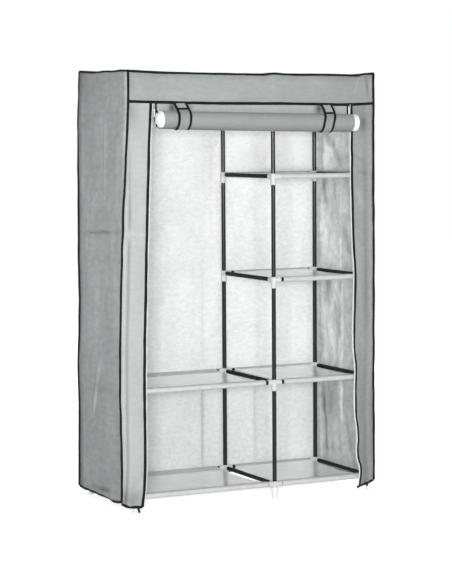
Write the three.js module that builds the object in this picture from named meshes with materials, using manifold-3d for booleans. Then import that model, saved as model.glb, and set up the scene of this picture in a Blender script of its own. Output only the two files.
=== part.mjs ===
// Portable fabric wardrobe: a plugged-together frame of round steel tubes with six cloth shelves, under a
// loose cover of thin cloth edged with black binding. The door is rolled up below the header and held by
// two straps. Millimetres, +Z up, the opening faces -Y, the origin is under the middle of the whole.
import * as THREE from "three";
import { mergeVertices } from "three/addons/utils/BufferGeometryUtils.js";
import manifoldModule from "manifold-3d";

const kit = await manifoldModule();
kit.setup();

// Frame
const frameWidth = 989;
const frameDepth = 422;
const leftBayShare = 0.5845;
const footHeight = 57;
const levelSpacing = 389;
const topSpacing = 378;
const braceShare = 0.5;
const tubeRadius = 8;
const tubeWall = 1;
const tubeSides = 8;

// Connectors and feet
const connectorRadius = 10.5;
const connectorDrop = 32;
const connectorRise = 10.5;
const armLength = 28;
const socketGap = 0.3;
const socketStop = 11;
const armRootGap = 0.6;
const footRadius = 9.75;
const collarRadius = 13.5;
const collarTopDrop = 12;
const collarTall = 11;
const collarTaper = 8;
const capThickness = 2;

// Hanging rail
const railTeeLength = 34;

// Shelves
const clothGap = 0.5;
const sleeveWall = 0.9;
const shelfInset = 34;

// Cover
const clothThickness = 1.2;
const seamGap = 0.3;
const coverSide = 18;
const coverFront = 17;
const coverBack = 18;
const topClearance = 0.5;
const topSlope = 9;
const topSlopeRun = 7;
const headerHeight = 104;
const bindingHalf = 2.5;
const bindingHalfSide = 2.3;
const bindingHalfUpright = 2.1;
const bindingThick = 2;
const bindingWide = 6;
const zipTape = 8;
const zipGap = 2.4;
const leftStripWidth = 90;
const rightStripWidth = 99;
const cornerFlare = 36;
const cornerPullBack = 20;
const backFlare = 26;
const leftEdgeDrift = 44;
const rightEdgeDrift = 32;
const rightEdgeCurl = 30;
const stripFold = 68;
const leftHemCorner = 38;
const leftHemMiddle = 24;
const leftHemEdge = 20;
const rightHemCorner = 41;
const rightHemEdge = 27;
const sideHemFront = 48;
const sideHemMiddle = 35;
const sideHemBack = 43;
const backHem = 43;
const tieLength = 16;
const tieWide = 4;
const tieThick = 1.5;

// Door, rolled up
const rollDeep = 30;
const rollTall = 33.5;
const rollCoreShare = 0.2;
const rollTurns = 12;
const rollSides = 12;
const rollDrop = 71;
const rollOut = 33;
const rollLeftOverlap = 1;
const rollRightOverlap = 9;
const curtainArcSteps = 4;
const curtainClearTop = 9.5;
const curtainClearBottom = 2;

// Straps
const strapWidth = 46;
const leftStrapShare = 0.12;
const rightStrapShare = 0.854;
const strapThickness = 1.2;
const strapClear = 3.2;
const strapFrontClear = 0.35;
const strapEndDrop = 1.5;

// Zip sliders and pulls
const sliderWide = 8;
const sliderTall = 9;
const sliderPlate = 1.2;
const sliderSlot = 0.5;
const sliderBridge = 1.6;
const sliderDrop = 2;
const eyeletOut = 3.4;
const eyeletWide = 1.6;
const eyeletTall = 4.4;
const pinHoleRadius = 1.1;
const pullBarRadius = 0.6;
const pullWide = 5;
const pullLength = 15;
const pullThick = 1.2;
const pullWindowWide = 2.4;
const pullWindowTall = 3.4;

// Heights of the rows of the cover, as shares of its height, and how far the edges drift at each row
const rowShares = [0.115, 0.26, 0.52, 0.685, 0.82, 0.925];
const cornerDriftShares = [1, 0.91, 1, 0.85, 0.6, 0.18, 0];
const backDriftShares = [1, 0.9, 0.7, 0.5, 0.35, 0.15, 0];
const leftEdgeShares = [1, 0.7, 0.73, 0.64, 0.43, 0.16, 0];
const rightEdgeShares = [0.9, 1, 0.72, 0.5, 0.36, 0.05, 0];
const rightCurlShares = [0.75, 1, 0.4, 0.15, 0, 0, 0];

// Extents that set the origin under the middle of the whole
const frontReach = coverFront + rollOut + rollDeep + strapFrontClear + strapThickness;
const backReach = coverBack + bindingHalf;
const leftReach = coverSide + cornerFlare + bindingHalfUpright;
const rightReach = coverSide + bindingHalf;
const frontY = -frameDepth / 2 + (frontReach - backReach) / 2;
const backY = frontY + frameDepth;
const leftX = -frameWidth / 2 + (leftReach - rightReach) / 2;
const rightX = leftX + frameWidth;
const centreX = leftX + frameWidth * leftBayShare;
const columnX = [leftX, centreX, rightX];
const levels = [0, 1, 2, 3].map((n) => footHeight + n * levelSpacing);
levels.push(levels[3] + topSpacing);
const topZ = levels[4];
const braceZ = levels[1] + (topZ - levels[1]) * braceShare;

// Cover planes
const planeFront = frontY - coverFront;
const planeBack = backY + coverBack;
const coverLeft = leftX - coverSide;
const coverRight = rightX + coverSide;
const coverTop = topZ + connectorRadius + topClearance + clothThickness;
const edgeZ = coverTop - topSlope;
const headerBottom = edgeZ - headerHeight;

// Colours
const colours = {
  tube: [0x34393a, 0.42, 0.6],
  connector: [0xf2f2ee, 0.5, 0],
  shelf: [0xd7dbda, 0.7, 0],
  cover: [0xaeb4b3, 0.88, 0],
  binding: [0x1f2424, 0.8, 0],
  zip: [0xe9e9e6, 0.55, 0],
};

const group = new THREE.Group();
group.name = "portable_fabric_wardrobe";

function addMesh(name, geometry, look) {
  const [color, roughness, metalness] = look;
  const clean = new THREE.BufferGeometry();
  const flat = geometry.index ? geometry : mergeVertices(geometry, 1e-4);
  clean.setAttribute("position", flat.getAttribute("position").clone());
  clean.setIndex(Array.from(flat.index.array));
  clean.computeVertexNormals();
  const mesh = new THREE.Mesh(clean, new THREE.MeshStandardMaterial({ color, roughness, metalness }));
  mesh.name = name;
  group.add(mesh);
  return mesh;
}

// Solids for the booleans, and back again
function toSolid(geometry) {
  const bare = new THREE.BufferGeometry();
  bare.setAttribute("position", geometry.getAttribute("position").clone());
  if (geometry.index) {
    bare.setIndex(Array.from(geometry.index.array));
  }
  const merged = mergeVertices(bare, 1e-4);
  const corners = merged.index.array;
  const kept = [];
  for (let i = 0; i < corners.length; i += 3) {
    const [a, b, c] = [corners[i], corners[i + 1], corners[i + 2]];
    if (a !== b && b !== c && a !== c) {
      kept.push(a, b, c);
    }
  }
  const mesh = new kit.Mesh({
    numProp: 3,
    vertProperties: new Float32Array(merged.getAttribute("position").array),
    triVerts: new Uint32Array(kept),
  });
  return new kit.Manifold(mesh);
}

function toGeometry(solid) {
  const mesh = solid.getMesh();
  const geometry = new THREE.BufferGeometry();
  const points = new Float32Array(mesh.numVert * 3);
  for (let i = 0; i < mesh.numVert; i += 1) {
    for (let k = 0; k < 3; k += 1) {
      points[i * 3 + k] = mesh.vertProperties[i * mesh.numProp + k];
    }
  }
  geometry.setAttribute("position", new THREE.BufferAttribute(points, 3));
  geometry.setIndex(Array.from(mesh.triVerts));
  return geometry;
}

function union(solids) {
  return solids.reduce((sum, solid) => sum.add(solid));
}

// Turns a closed surface the right way out, whichever way its points run
function outward(geometry) {
  const points = geometry.getAttribute("position");
  const index = Array.from(geometry.index.array);
  const at = (n) => new THREE.Vector3().fromBufferAttribute(points, n);
  let volume = 0;
  for (let i = 0; i < index.length; i += 3) {
    volume += at(index[i]).dot(at(index[i + 1]).cross(at(index[i + 2])));
  }
  if (volume < 0) {
    for (let i = 0; i < index.length; i += 3) {
      [index[i + 1], index[i + 2]] = [index[i + 2], index[i + 1]];
    }
    geometry.setIndex(index);
  }
  return geometry;
}

// A turned body about +Z from a profile of [radius, height]
function turned(profile, sides) {
  const geometry = new THREE.LatheGeometry(
    profile.map(([radius, height]) => new THREE.Vector2(radius, height)),
    sides,
    Math.PI / sides,
  );
  geometry.rotateX(Math.PI / 2);
  return outward(geometry);
}

// Points a body turned about +Z along +X, -X, +Y or -Y
function along(geometry, direction) {
  const turns = {
    "+x": () => geometry.rotateY(Math.PI / 2),
    "-x": () => geometry.rotateY(-Math.PI / 2),
    "+y": () => geometry.rotateX(-Math.PI / 2),
    "-y": () => geometry.rotateX(Math.PI / 2),
  };
  turns[direction]();
  return geometry;
}

// A ring-shaped profile that closes on itself: an open tube from one height to another
function ringProfile(inner, outer, low, high) {
  return [
    [inner, low],
    [outer, low],
    [outer, high],
    [inner, high],
    [inner, low],
  ];
}

function openTube(start, end, direction, length) {
  const profile = ringProfile(tubeRadius - tubeWall, tubeRadius, start, end);
  return along(turned(profile, tubeSides), direction);
}

// Arm of a connector: a socket that is open at its outer end and stops short of the post
function arm(direction) {
  const root = tubeRadius - tubeWall + armRootGap;
  const bore = tubeRadius + socketGap;
  const profile = [
    [0, root],
    [connectorRadius, root],
    [connectorRadius, armLength],
    [bore, armLength],
    [bore, socketStop],
    [0, socketStop],
  ];
  return along(turned(profile, tubeSides), direction);
}

// Post column: foot, tubes and connectors, hollow from the foot up
function column(x, y, joints) {
  const inner = tubeRadius - tubeWall;
  const collarTop = footHeight - collarTopDrop;
  const boreTop = topZ + connectorRise - capThickness;
  const profile = [
    [0, boreTop],
    [inner, boreTop],
    [inner, 0],
    [footRadius, 0],
    [footRadius, collarTop - collarTall - collarTaper],
    [collarRadius, collarTop - collarTall],
    [collarRadius, collarTop],
    [connectorRadius, collarTop],
    [connectorRadius, footHeight + connectorRise],
    [tubeRadius, footHeight + connectorRise],
  ];
  for (const joint of joints.slice(1)) {
    profile.push([tubeRadius, joint.z - connectorDrop]);
    profile.push([connectorRadius, joint.z - connectorDrop]);
    profile.push([connectorRadius, joint.z + connectorRise]);
    if (joint.z < topZ) {
      profile.push([tubeRadius, joint.z + connectorRise]);
    }
  }
  profile.push([0, topZ + connectorRise]);
  const solids = [toSolid(turned(profile, tubeSides))];
  for (const joint of joints) {
    for (const direction of joint.arms) {
      const socket = arm(direction);
      socket.translate(0, 0, joint.z);
      solids.push(toSolid(socket));
    }
  }
  const geometry = toGeometry(union(solids));
  geometry.translate(x, y, 0);
  return geometry;
}

// Bays joined at each level: the left bay at its bottom, low and top levels, the right bay at all five
const leftLevels = [0, 1, 4];
const rightLevels = [0, 1, 2, 3, 4];
const levelNames = ["bottom", "low", "middle", "high", "top"];
for (const [side, y, inward] of [["front", frontY, "+y"], ["back", backY, "-y"]]) {
  const leftJoints = leftLevels.map((n) => ({ z: levels[n], arms: ["+x", inward] }));
  leftJoints.splice(2, 0, { z: braceZ, arms: [inward] });
  const centreJoints = rightLevels.map((n) => ({
    z: levels[n],
    arms: leftLevels.includes(n) ? ["-x", "+x", inward] : ["+x", inward],
  }));
  const rightJoints = rightLevels.map((n) => ({ z: levels[n], arms: ["-x", inward] }));
  addMesh(`post_${side}_left`, column(leftX, y, leftJoints), colours.tube);
  addMesh(`post_${side}_centre`, column(centreX, y, centreJoints), colours.tube);
  addMesh(`post_${side}_right`, column(rightX, y, rightJoints), colours.tube);
}

// Tubes across each bay, front and back
const tubeEnd = socketStop + socketGap;
for (const [side, y] of [["front", frontY], ["back", backY]]) {
  for (const [bay, from, to, used] of [
    ["left", leftX, centreX, leftLevels],
    ["right", centreX, rightX, rightLevels],
  ]) {
    for (const n of used) {
      const geometry = openTube(tubeEnd, to - from - tubeEnd, "+x");
      geometry.translate(from, y, levels[n]);
      addMesh(`tube_${side}_${bay}_${levelNames[n]}`, geometry, colours.tube);
    }
  }
}

// Tubes from front to back
const depthTubes = [];
for (const n of leftLevels) {
  depthTubes.push(["left", leftX, levels[n], levelNames[n]]);
}
depthTubes.push(["left", leftX, braceZ, "brace"]);
for (const n of rightLevels) {
  depthTubes.push(["centre", centreX, levels[n], levelNames[n]]);
  depthTubes.push(["right", rightX, levels[n], levelNames[n]]);
}
for (const [place, x, z, level] of depthTubes) {
  const geometry = openTube(tubeEnd, frameDepth - tubeEnd, "+y");
  geometry.translate(x, frontY, z);
  addMesh(`tube_depth_${place}_${level}`, geometry, colours.tube);
}

// Hanging rail of the left bay: a tube between two tees that are threaded on the top depth tubes
const teeInner = tubeRadius + socketGap;
const middleY = (frontY + backY) / 2;
const teeSolid = (x) => {
  const tee = turned(
    ringProfile(teeInner, connectorRadius, -railTeeLength / 2, railTeeLength / 2),
    tubeSides,
  );
  along(tee, "+y");
  tee.translate(x, middleY, topZ);
  return toSolid(tee);
};
const railRoot = teeInner + armRootGap;
const railSpan = centreX - leftX;
const railProfile = [
  [0, railRoot],
  [connectorRadius, railRoot],
  [connectorRadius, armLength],
  [tubeRadius, armLength],
  [tubeRadius, railSpan - armLength],
  [connectorRadius, railSpan - armLength],
  [connectorRadius, railSpan - railRoot],
  [0, railSpan - railRoot],
];
const railBody = along(turned(railProfile, tubeSides), "+x");
railBody.translate(leftX, middleY, topZ);
const railSolid = union([teeSolid(leftX), teeSolid(centreX), toSolid(railBody)]);
addMesh("hanging_rail", toGeometry(railSolid), colours.tube);

// A closed outline in the YZ plane, drawn out along +X
function drawnAlongX(outline, holes, from, to) {
  const shape = new THREE.Shape(outline.map(([y, z]) => new THREE.Vector2(y, z)));
  for (const hole of holes) {
    shape.holes.push(new THREE.Path(hole.map(([y, z]) => new THREE.Vector2(y, z))));
  }
  const geometry = new THREE.ExtrudeGeometry(shape, { depth: to - from, bevelEnabled: false, steps: 1 });
  const turn = new THREE.Matrix4().makeBasis(
    new THREE.Vector3(0, 1, 0),
    new THREE.Vector3(0, 0, 1),
    new THREE.Vector3(1, 0, 0),
  );
  geometry.applyMatrix4(turn);
  geometry.translate(from, 0, 0);
  return geometry;
}

// Shelf: one cloth with a sewn sleeve around the front tube and one around the back tube
const sleeveInner = tubeRadius + clothGap;
const sleeveOuter = sleeveInner + sleeveWall;
const flatAngle = Math.PI / tubeSides;

function corner(y, z, radius, n) {
  const angle = flatAngle * (2 * n + 1);
  return [y + radius * Math.cos(angle), z + radius * Math.sin(angle)];
}

function shelfGeometry(from, to, z) {
  const under = sleeveInner * Math.cos(flatAngle);
  const meetRun = sleeveOuter * Math.sin(flatAngle) + (sleeveOuter - sleeveInner) * Math.cos(flatAngle);
  const outline = [[frontY + meetRun, z + under]];
  for (const n of [0, -1, -2, -3, -4, -5, -6]) {
    outline.push(corner(frontY, z, sleeveOuter, n));
  }
  for (const n of [1, 0, -1, -2, -3, -4, -5]) {
    outline.push(corner(backY, z, sleeveOuter, n));
  }
  outline.push([backY - meetRun, z + under]);
  const ring = (y) => [0, 1, 2, 3, 4, 5, 6, 7].map((n) => corner(y, z, sleeveInner, n));
  return drawnAlongX(outline, [ring(frontY), ring(backY)], from, to);
}

for (const [bay, from, to, used] of [
  ["left", leftX, centreX, [0, 1]],
  ["right", centreX, rightX, [0, 1, 2, 3]],
]) {
  for (const n of used) {
    const geometry = shelfGeometry(from + shelfInset, to - shelfInset, levels[n]);
    addMesh(`shelf_${bay}_${levelNames[n]}`, geometry, colours.shelf);
  }
}

// A thin closed sheet from rows of points, thickened by one offset
function sheet(rows, offset) {
  const [dx, dy, dz] = offset;
  const across = rows[0].length;
  const points = [];
  for (const row of rows) {
    for (const [x, y, z] of row) {
      points.push(x, y, z);
    }
  }
  const layer = rows.length * across;
  for (const row of rows) {
    for (const [x, y, z] of row) {
      points.push(x + dx, y + dy, z + dz);
    }
  }
  const index = [];
  const quad = (a, b, c, d) => index.push(a, b, c, a, c, d);
  for (let r = 0; r + 1 < rows.length; r += 1) {
    for (let c = 0; c + 1 < across; c += 1) {
      const a = r * across + c;
      quad(a, a + 1, a + across + 1, a + across);
      quad(layer + a, layer + a + across, layer + a + across + 1, layer + a + 1);
    }
  }
  const rim = [];
  for (let c = 0; c + 1 < across; c += 1) {
    rim.push(c);
  }
  for (let r = 0; r + 1 < rows.length; r += 1) {
    rim.push(r * across + across - 1);
  }
  for (let c = across - 1; c > 0; c -= 1) {
    rim.push((rows.length - 1) * across + c);
  }
  for (let r = rows.length - 1; r > 0; r -= 1) {
    rim.push(r * across);
  }
  rim.forEach((a, n) => {
    const b = rim[(n + 1) % rim.length];
    quad(b, a, layer + a, layer + b);
  });
  const geometry = new THREE.BufferGeometry();
  geometry.setAttribute("position", new THREE.Float32BufferAttribute(points, 3));
  geometry.setIndex(index);
  return geometry;
}

// Rows of the cover's upright edges: the hem's own height first, then the shared rows, then the top
const rowHeights = rowShares.map((share) => edgeZ * share);
const uprightRows = (hem, top) => [hem, ...rowHeights.filter((z) => z < top), top];

function driftAt(shares, z) {
  const known = [0, ...rowHeights];
  if (z >= known[known.length - 1]) {
    return shares[shares.length - 1];
  }
  const n = known.findIndex((height, k) => z >= height && z < known[k + 1]);
  const t = (z - known[n]) / (known[n + 1] - known[n]);
  return shares[n] + (shares[n + 1] - shares[n]) * t;
}

const frontLeft = (z) => {
  const drift = driftAt(cornerDriftShares, z);
  return [coverLeft - cornerFlare * drift, planeFront + cornerPullBack * drift, z];
};
const backLeft = (z) => [coverLeft - backFlare * driftAt(backDriftShares, z), planeBack, z];
const frontRight = (z) => [coverRight, planeFront, z];
const backRight = (z) => [coverRight, planeBack, z];
const leftEdge = (z) => {
  const x = coverLeft + leftStripWidth - leftEdgeDrift * driftAt(leftEdgeShares, z);
  return [x, planeFront, z];
};
const rightEdge = (z) => {
  const x = coverRight - rightStripWidth + rightEdgeDrift * driftAt(rightEdgeShares, z);
  return [x, planeFront - rightEdgeCurl * driftAt(rightCurlShares, z), z];
};

const edgeClear = bindingHalf + seamGap;
const cloth = clothThickness;

// Top panel: flat over the tubes and sloping to the seam all round
const topXs = [coverLeft + edgeClear, leftX - coverSide + topSlopeRun, rightX + coverSide - topSlopeRun];
topXs.push(coverRight - edgeClear);
const topYs = [planeFront + edgeClear, planeFront + topSlopeRun, planeBack - topSlopeRun];
topYs.push(planeBack - edgeClear);
const topRows = topYs.map((y, r) =>
  topXs.map((x, c) => [x, y, r === 0 || r === 3 || c === 0 || c === 3 ? edgeZ : coverTop]),
);
addMesh("cover_top", outward(sheet(topRows, [0, 0, -cloth])), colours.cover);

// Side panels
function sidePanel(front, back, hems, inward) {
  const [hemFront, hemMiddle, hemBack] = hems;
  const mid = (a, b) => a.map((value, k) => (value + b[k]) / 2);
  const top = edgeZ - edgeClear;
  const rows = uprightRows(0, top).map((z, r) => {
    const zs = r === 0 ? [hemFront, hemMiddle, hemBack] : [z, z, z];
    const a = front(zs[0]);
    const b = back(zs[2]);
    const start = [a[0], a[1] + edgeClear, zs[0]];
    const end = [b[0], b[1] - edgeClear, zs[2]];
    const middle = mid(start, end);
    return [start, [middle[0], middle[1], zs[1]], end];
  });
  return outward(sheet(rows, [inward * cloth, 0, 0]));
}

const hemClear = bindingHalf + seamGap;
const leftHems = [sideHemFront, sideHemMiddle, sideHemBack];
const hemTops = leftHems.map((z) => z + hemClear);
addMesh("cover_left_side", sidePanel(frontLeft, backLeft, hemTops, 1), colours.cover);
addMesh("cover_right_side", sidePanel(frontRight, backRight, hemTops, -1), colours.cover);

// Back panel
const backRows = uprightRows(backHem + hemClear, edgeZ - edgeClear).map((z) => {
  const left = backLeft(z);
  const right = backRight(z);
  return [[left[0] + edgeClear, planeBack, z], [right[0] - edgeClear, planeBack, z]];
});
addMesh("cover_back", outward(sheet(backRows, [0, -cloth, 0])), colours.cover);

// Header over the opening
const headerRows = [headerBottom + hemClear, edgeZ - edgeClear].map((z) => [
  [frontLeft(z)[0] + edgeClear, frontLeft(z)[1], z],
  [coverRight - edgeClear, planeFront, z],
]);
addMesh("cover_header", outward(sheet(headerRows, [0, cloth, 0])), colours.cover);

// Strips beside the opening, each with its white zip tape along the inner edge
const stripTop = headerBottom - hemClear;
const leftStripRows = uprightRows(0, stripTop).map((z, r) => {
  const hems = [leftHemCorner, leftHemMiddle, leftHemEdge];
  const zs = r === 0 ? hems.map((h) => h + hemClear) : [z, z, z];
  const a = frontLeft(r === 0 ? leftHemCorner : z);
  const e = leftEdge(r === 0 ? leftHemEdge : z);
  const fold = e[0] - stripFold;
  const run = Math.max(fold, a[0] + 2 * edgeClear);
  return [
    [a[0] + edgeClear, a[1], zs[0]],
    [run, planeFront, zs[1]],
    [e[0], planeFront, zs[2]],
    [e[0] + zipTape, planeFront, zs[2]],
  ];
});
addMesh("strip_left", outward(sheet(leftStripRows, [0, cloth, 0])), colours.cover);

const rightStripRows = uprightRows(0, stripTop).map((z, r) => {
  const hemMiddle = (rightHemEdge + rightHemCorner) / 2;
  const hems = [rightHemEdge, hemMiddle, rightHemCorner];
  const zs = r === 0 ? hems.map((h) => h + hemClear) : [z, z, z];
  const e = rightEdge(r === 0 ? rightHemEdge : z);
  const a = frontRight(r === 0 ? rightHemCorner : z);
  return [
    [e[0] - zipTape, e[1], zs[0]],
    [e[0], e[1], zs[0]],
    [(e[0] + a[0]) / 2, planeFront, zs[1]],
    [a[0] - edgeClear, a[1], zs[2]],
  ];
});
addMesh("strip_right", outward(sheet(rightStripRows, [0, cloth, 0])), colours.cover);

// A bar of binding through a row of points: a box-shaped section kept square to two fixed directions
function bar(points, first, second) {
  const [a, b] = [first, second];
  const section = [[-1, -1], [1, -1], [1, 1], [-1, 1]];
  const rows = points.map((p) =>
    section.map(([s, t]) => p.map((value, k) => value + s * a[k] + t * b[k])),
  );
  const flat = [];
  for (const row of rows) {
    for (const point of row) {
      flat.push(...point);
    }
  }
  const index = [];
  const quad = (p, q, r, s) => index.push(p, q, r, p, r, s);
  for (let r = 0; r + 1 < rows.length; r += 1) {
    for (let c = 0; c < 4; c += 1) {
      const next = (c + 1) % 4;
      quad(r * 4 + c, r * 4 + next, r * 4 + 4 + next, r * 4 + 4 + c);
    }
  }
  const last = (rows.length - 1) * 4;
  quad(3, 2, 1, 0);
  quad(last, last + 1, last + 2, last + 3);
  const geometry = new THREE.BufferGeometry();
  geometry.setAttribute("position", new THREE.Float32BufferAttribute(flat, 3));
  geometry.setIndex(index);
  return toSolid(outward(geometry));
}

// Binding: one network along every seam and edge of the cover
const half = bindingHalf;
const sideHalf = bindingHalfSide;
const postHalf = bindingHalfUpright;
const alongX = (points) => bar(points, [0, half, 0], [0, 0, half]);
const alongY = (points) => bar(points, [sideHalf, 0, 0], [0, 0, sideHalf]);
const upright = (points) => bar(points, [postHalf, 0, 0], [0, postHalf, 0]);
const flatUpright = (points) => bar(points, [bindingWide / 2, 0, 0], [0, bindingThick / 2, 0]);
const past = (point, x, y) => [point[0] + x * half, point[1] + y * half, point[2]];
const bindings = [];
const ring = [[coverLeft, planeFront], [coverRight, planeFront], [coverRight, planeBack]];
ring.push([coverLeft, planeBack]);
const corners = ring.map(([x, y]) => [x, y, edgeZ]);
bindings.push(alongX([past(corners[0], -1, 0), past(corners[1], 1, 0)]));
bindings.push(alongX([past(corners[3], -1, 0), past(corners[2], 1, 0)]));
bindings.push(alongY([corners[0], corners[3]]));
bindings.push(alongY([corners[1], corners[2]]));
bindings.push(upright(uprightRows(leftHemCorner, edgeZ).map(frontLeft)));
bindings.push(upright(uprightRows(rightHemCorner, edgeZ).map(frontRight)));
bindings.push(upright(uprightRows(sideHemBack, edgeZ).map(backLeft)));
bindings.push(upright(uprightRows(sideHemBack, edgeZ).map(backRight)));
bindings.push(alongX([frontLeft(headerBottom), frontRight(headerBottom)]));

// Binding on the edges of the opening, laid on the outside of the strips
const raised = (point) => [point[0], point[1] - seamGap - bindingThick / 2, point[2]];
bindings.push(flatUpright(uprightRows(leftHemEdge, headerBottom).map((z) => raised(leftEdge(z)))));
bindings.push(flatUpright(uprightRows(rightHemEdge, headerBottom).map((z) => raised(rightEdge(z)))));

// Binding on the hems
const hemAt = (point, z) => [point[0], point[1], z];
const sideHem = (front, back) => {
  const a = hemAt(front(sideHemFront), sideHemFront);
  const b = hemAt(back(sideHemBack), sideHemBack);
  return alongY([a, [(a[0] + b[0]) / 2, (a[1] + b[1]) / 2, sideHemMiddle], b]);
};
bindings.push(sideHem(frontLeft, backLeft));
bindings.push(sideHem(frontRight, backRight));
bindings.push(alongX([backLeft(backHem), backRight(backHem)]));
const leftCorner = frontLeft(leftHemCorner);
const leftFoldX = leftEdge(leftHemEdge)[0] - stripFold;
bindings.push(
  alongX([
    leftCorner,
    [Math.max(leftFoldX, leftCorner[0] + 2 * edgeClear), planeFront, leftHemMiddle],
    [leftEdge(leftHemEdge)[0], planeFront, leftHemEdge],
    [leftEdge(leftHemEdge)[0] + zipTape, planeFront, leftHemEdge],
  ]),
);
const rightCorner = frontRight(rightHemCorner);
const rightHemStart = rightEdge(rightHemEdge);
bindings.push(
  alongX([
    [rightHemStart[0] - zipTape, rightHemStart[1], rightHemEdge],
    [rightHemStart[0], rightHemStart[1], rightHemEdge],
    [(rightHemStart[0] + coverRight) / 2, planeFront, (rightHemEdge + rightHemCorner) / 2],
    rightCorner,
  ]),
);

// Short ties that hang from the strips' hems
const tie = (x, y, z) => {
  const points = [[x, y, z], [x, y, z - half - tieLength]];
  return bar(points, [tieWide / 2, 0, 0], [0, tieThick / 2, 0]);
};
bindings.push(tie(leftEdge(leftHemEdge)[0] - stripFold / 3, planeFront, leftHemEdge));
const rightTieZ = (rightHemEdge + rightHemCorner) / 2;
bindings.push(tie((rightHemStart[0] + coverRight) / 2, planeFront, rightTieZ));
addMesh("cover_binding", toGeometry(union(bindings)), colours.binding);

// A band of even thickness along a path of [y, z] points
function band(path, thickness) {
  const sides = [[], []];
  path.forEach((point, n) => {
    const before = path[Math.max(n - 1, 0)];
    const after = path[Math.min(n + 1, path.length - 1)];
    const run = [after[0] - before[0], after[1] - before[1]];
    const length = Math.hypot(run[0], run[1]);
    const normal = [-run[1] / length, run[0] / length];
    sides[0].push([point[0] + (normal[0] * thickness) / 2, point[1] + (normal[1] * thickness) / 2]);
    sides[1].push([point[0] - (normal[0] * thickness) / 2, point[1] - (normal[1] * thickness) / 2]);
  });
  return [...sides[0], ...sides[1].reverse()];
}

// Roll: the door's cloth wound inwards from its outer turn
const rollY = planeFront - rollOut;
const rollZ = headerBottom - rollDrop;
const openLeft = leftEdge(headerBottom)[0] + zipTape;
const openRight = rightEdge(headerBottom)[0] - zipTape;
const spiral = [];
const spiralSteps = rollTurns * rollSides;
for (let n = 0; n <= spiralSteps; n += 1) {
  const angle = -Math.PI / 2 - (2 * Math.PI * n) / rollSides;
  const shrink = 1 - (1 - rollCoreShare) * (n / spiralSteps);
  const deep = (rollDeep - cloth / 2) * shrink;
  const tall = (rollTall - cloth / 2) * shrink;
  spiral.push([rollY + deep * Math.cos(angle), rollZ + tall * Math.sin(angle)]);
}
const rollFrom = openLeft - rollLeftOverlap;
const rollTo = openRight + rollRightOverlap;
addMesh("door_roll", drawnAlongX(band(spiral, cloth), [], rollFrom, rollTo), colours.cover);

// Door cloth above the roll: straight down behind it, then under it to where the roll begins
const clothMid = planeFront + cloth / 2;
const curtainPath = [[clothMid, stripTop]];
const startRun = clothMid - rollY;
for (let n = 0; n <= curtainArcSteps; n += 1) {
  const t = n / curtainArcSteps;
  const angle = -t * Math.PI * 0.46;
  const deep = startRun + (rollDeep + curtainClearBottom - startRun) * t;
  const tall = rollTall + curtainClearBottom;
  curtainPath.push([rollY + deep * Math.cos(angle), rollZ + tall * Math.sin(angle)]);
}
const doorFrom = openLeft + zipGap;
const doorTo = openRight - zipGap;
const curtain = [toSolid(drawnAlongX(band(curtainPath, cloth), [], doorFrom, doorTo))];
const barY = planeFront - bindingThick / 2 + seamGap;
for (const x of [doorFrom + zipTape, doorTo - zipTape]) {
  curtain.push(flatUpright([[x, barY, stripTop - seamGap], [x, barY, rollZ]]));
}
addMesh("door_curtain", toGeometry(union(curtain)), colours.cover);

// Straps: from inside the header down behind the door, under the roll and up its front to the header
const strapPath = [[clothMid + strapClear, stripTop]];
const strapArcSteps = 12;
for (let n = 0; n <= strapArcSteps; n += 1) {
  const t = n / strapArcSteps;
  const angle = -t * Math.PI * 1.3;
  const back = clothMid + strapClear - rollY;
  const blend = Math.min(t * 2.2, 1);
  const deep = back + (rollDeep + strapFrontClear + strapThickness / 2 - back) * blend;
  const low = rollTall + curtainClearBottom + strapClear;
  const snug = rollTall + strapFrontClear + strapThickness / 2;
  const tall = low + (snug - low) * Math.max(0, Math.min((t - 0.4) / 0.3, 1));
  strapPath.push([rollY + deep * Math.cos(angle), rollZ + tall * Math.sin(angle)]);
}
strapPath.push([planeFront - strapThickness, stripTop - strapEndDrop]);
const strapSpan = doorTo - doorFrom;
for (const [side, share] of [["left", leftStrapShare], ["right", rightStrapShare]]) {
  const x = doorFrom + strapSpan * share;
  const outline = band(strapPath, strapThickness);
  const geometry = drawnAlongX(outline, [], x - strapWidth / 2, x + strapWidth / 2);
  addMesh(`strap_${side}`, geometry, colours.cover);
}

// Zip sliders: two plates joined by a bridge that runs between the tapes, with an eyelet for the pull
function block(x, y, z, wide, deep, tall) {
  const geometry = new THREE.BoxGeometry(wide, deep, tall);
  geometry.translate(x, y, z);
  return toSolid(geometry);
}

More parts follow.
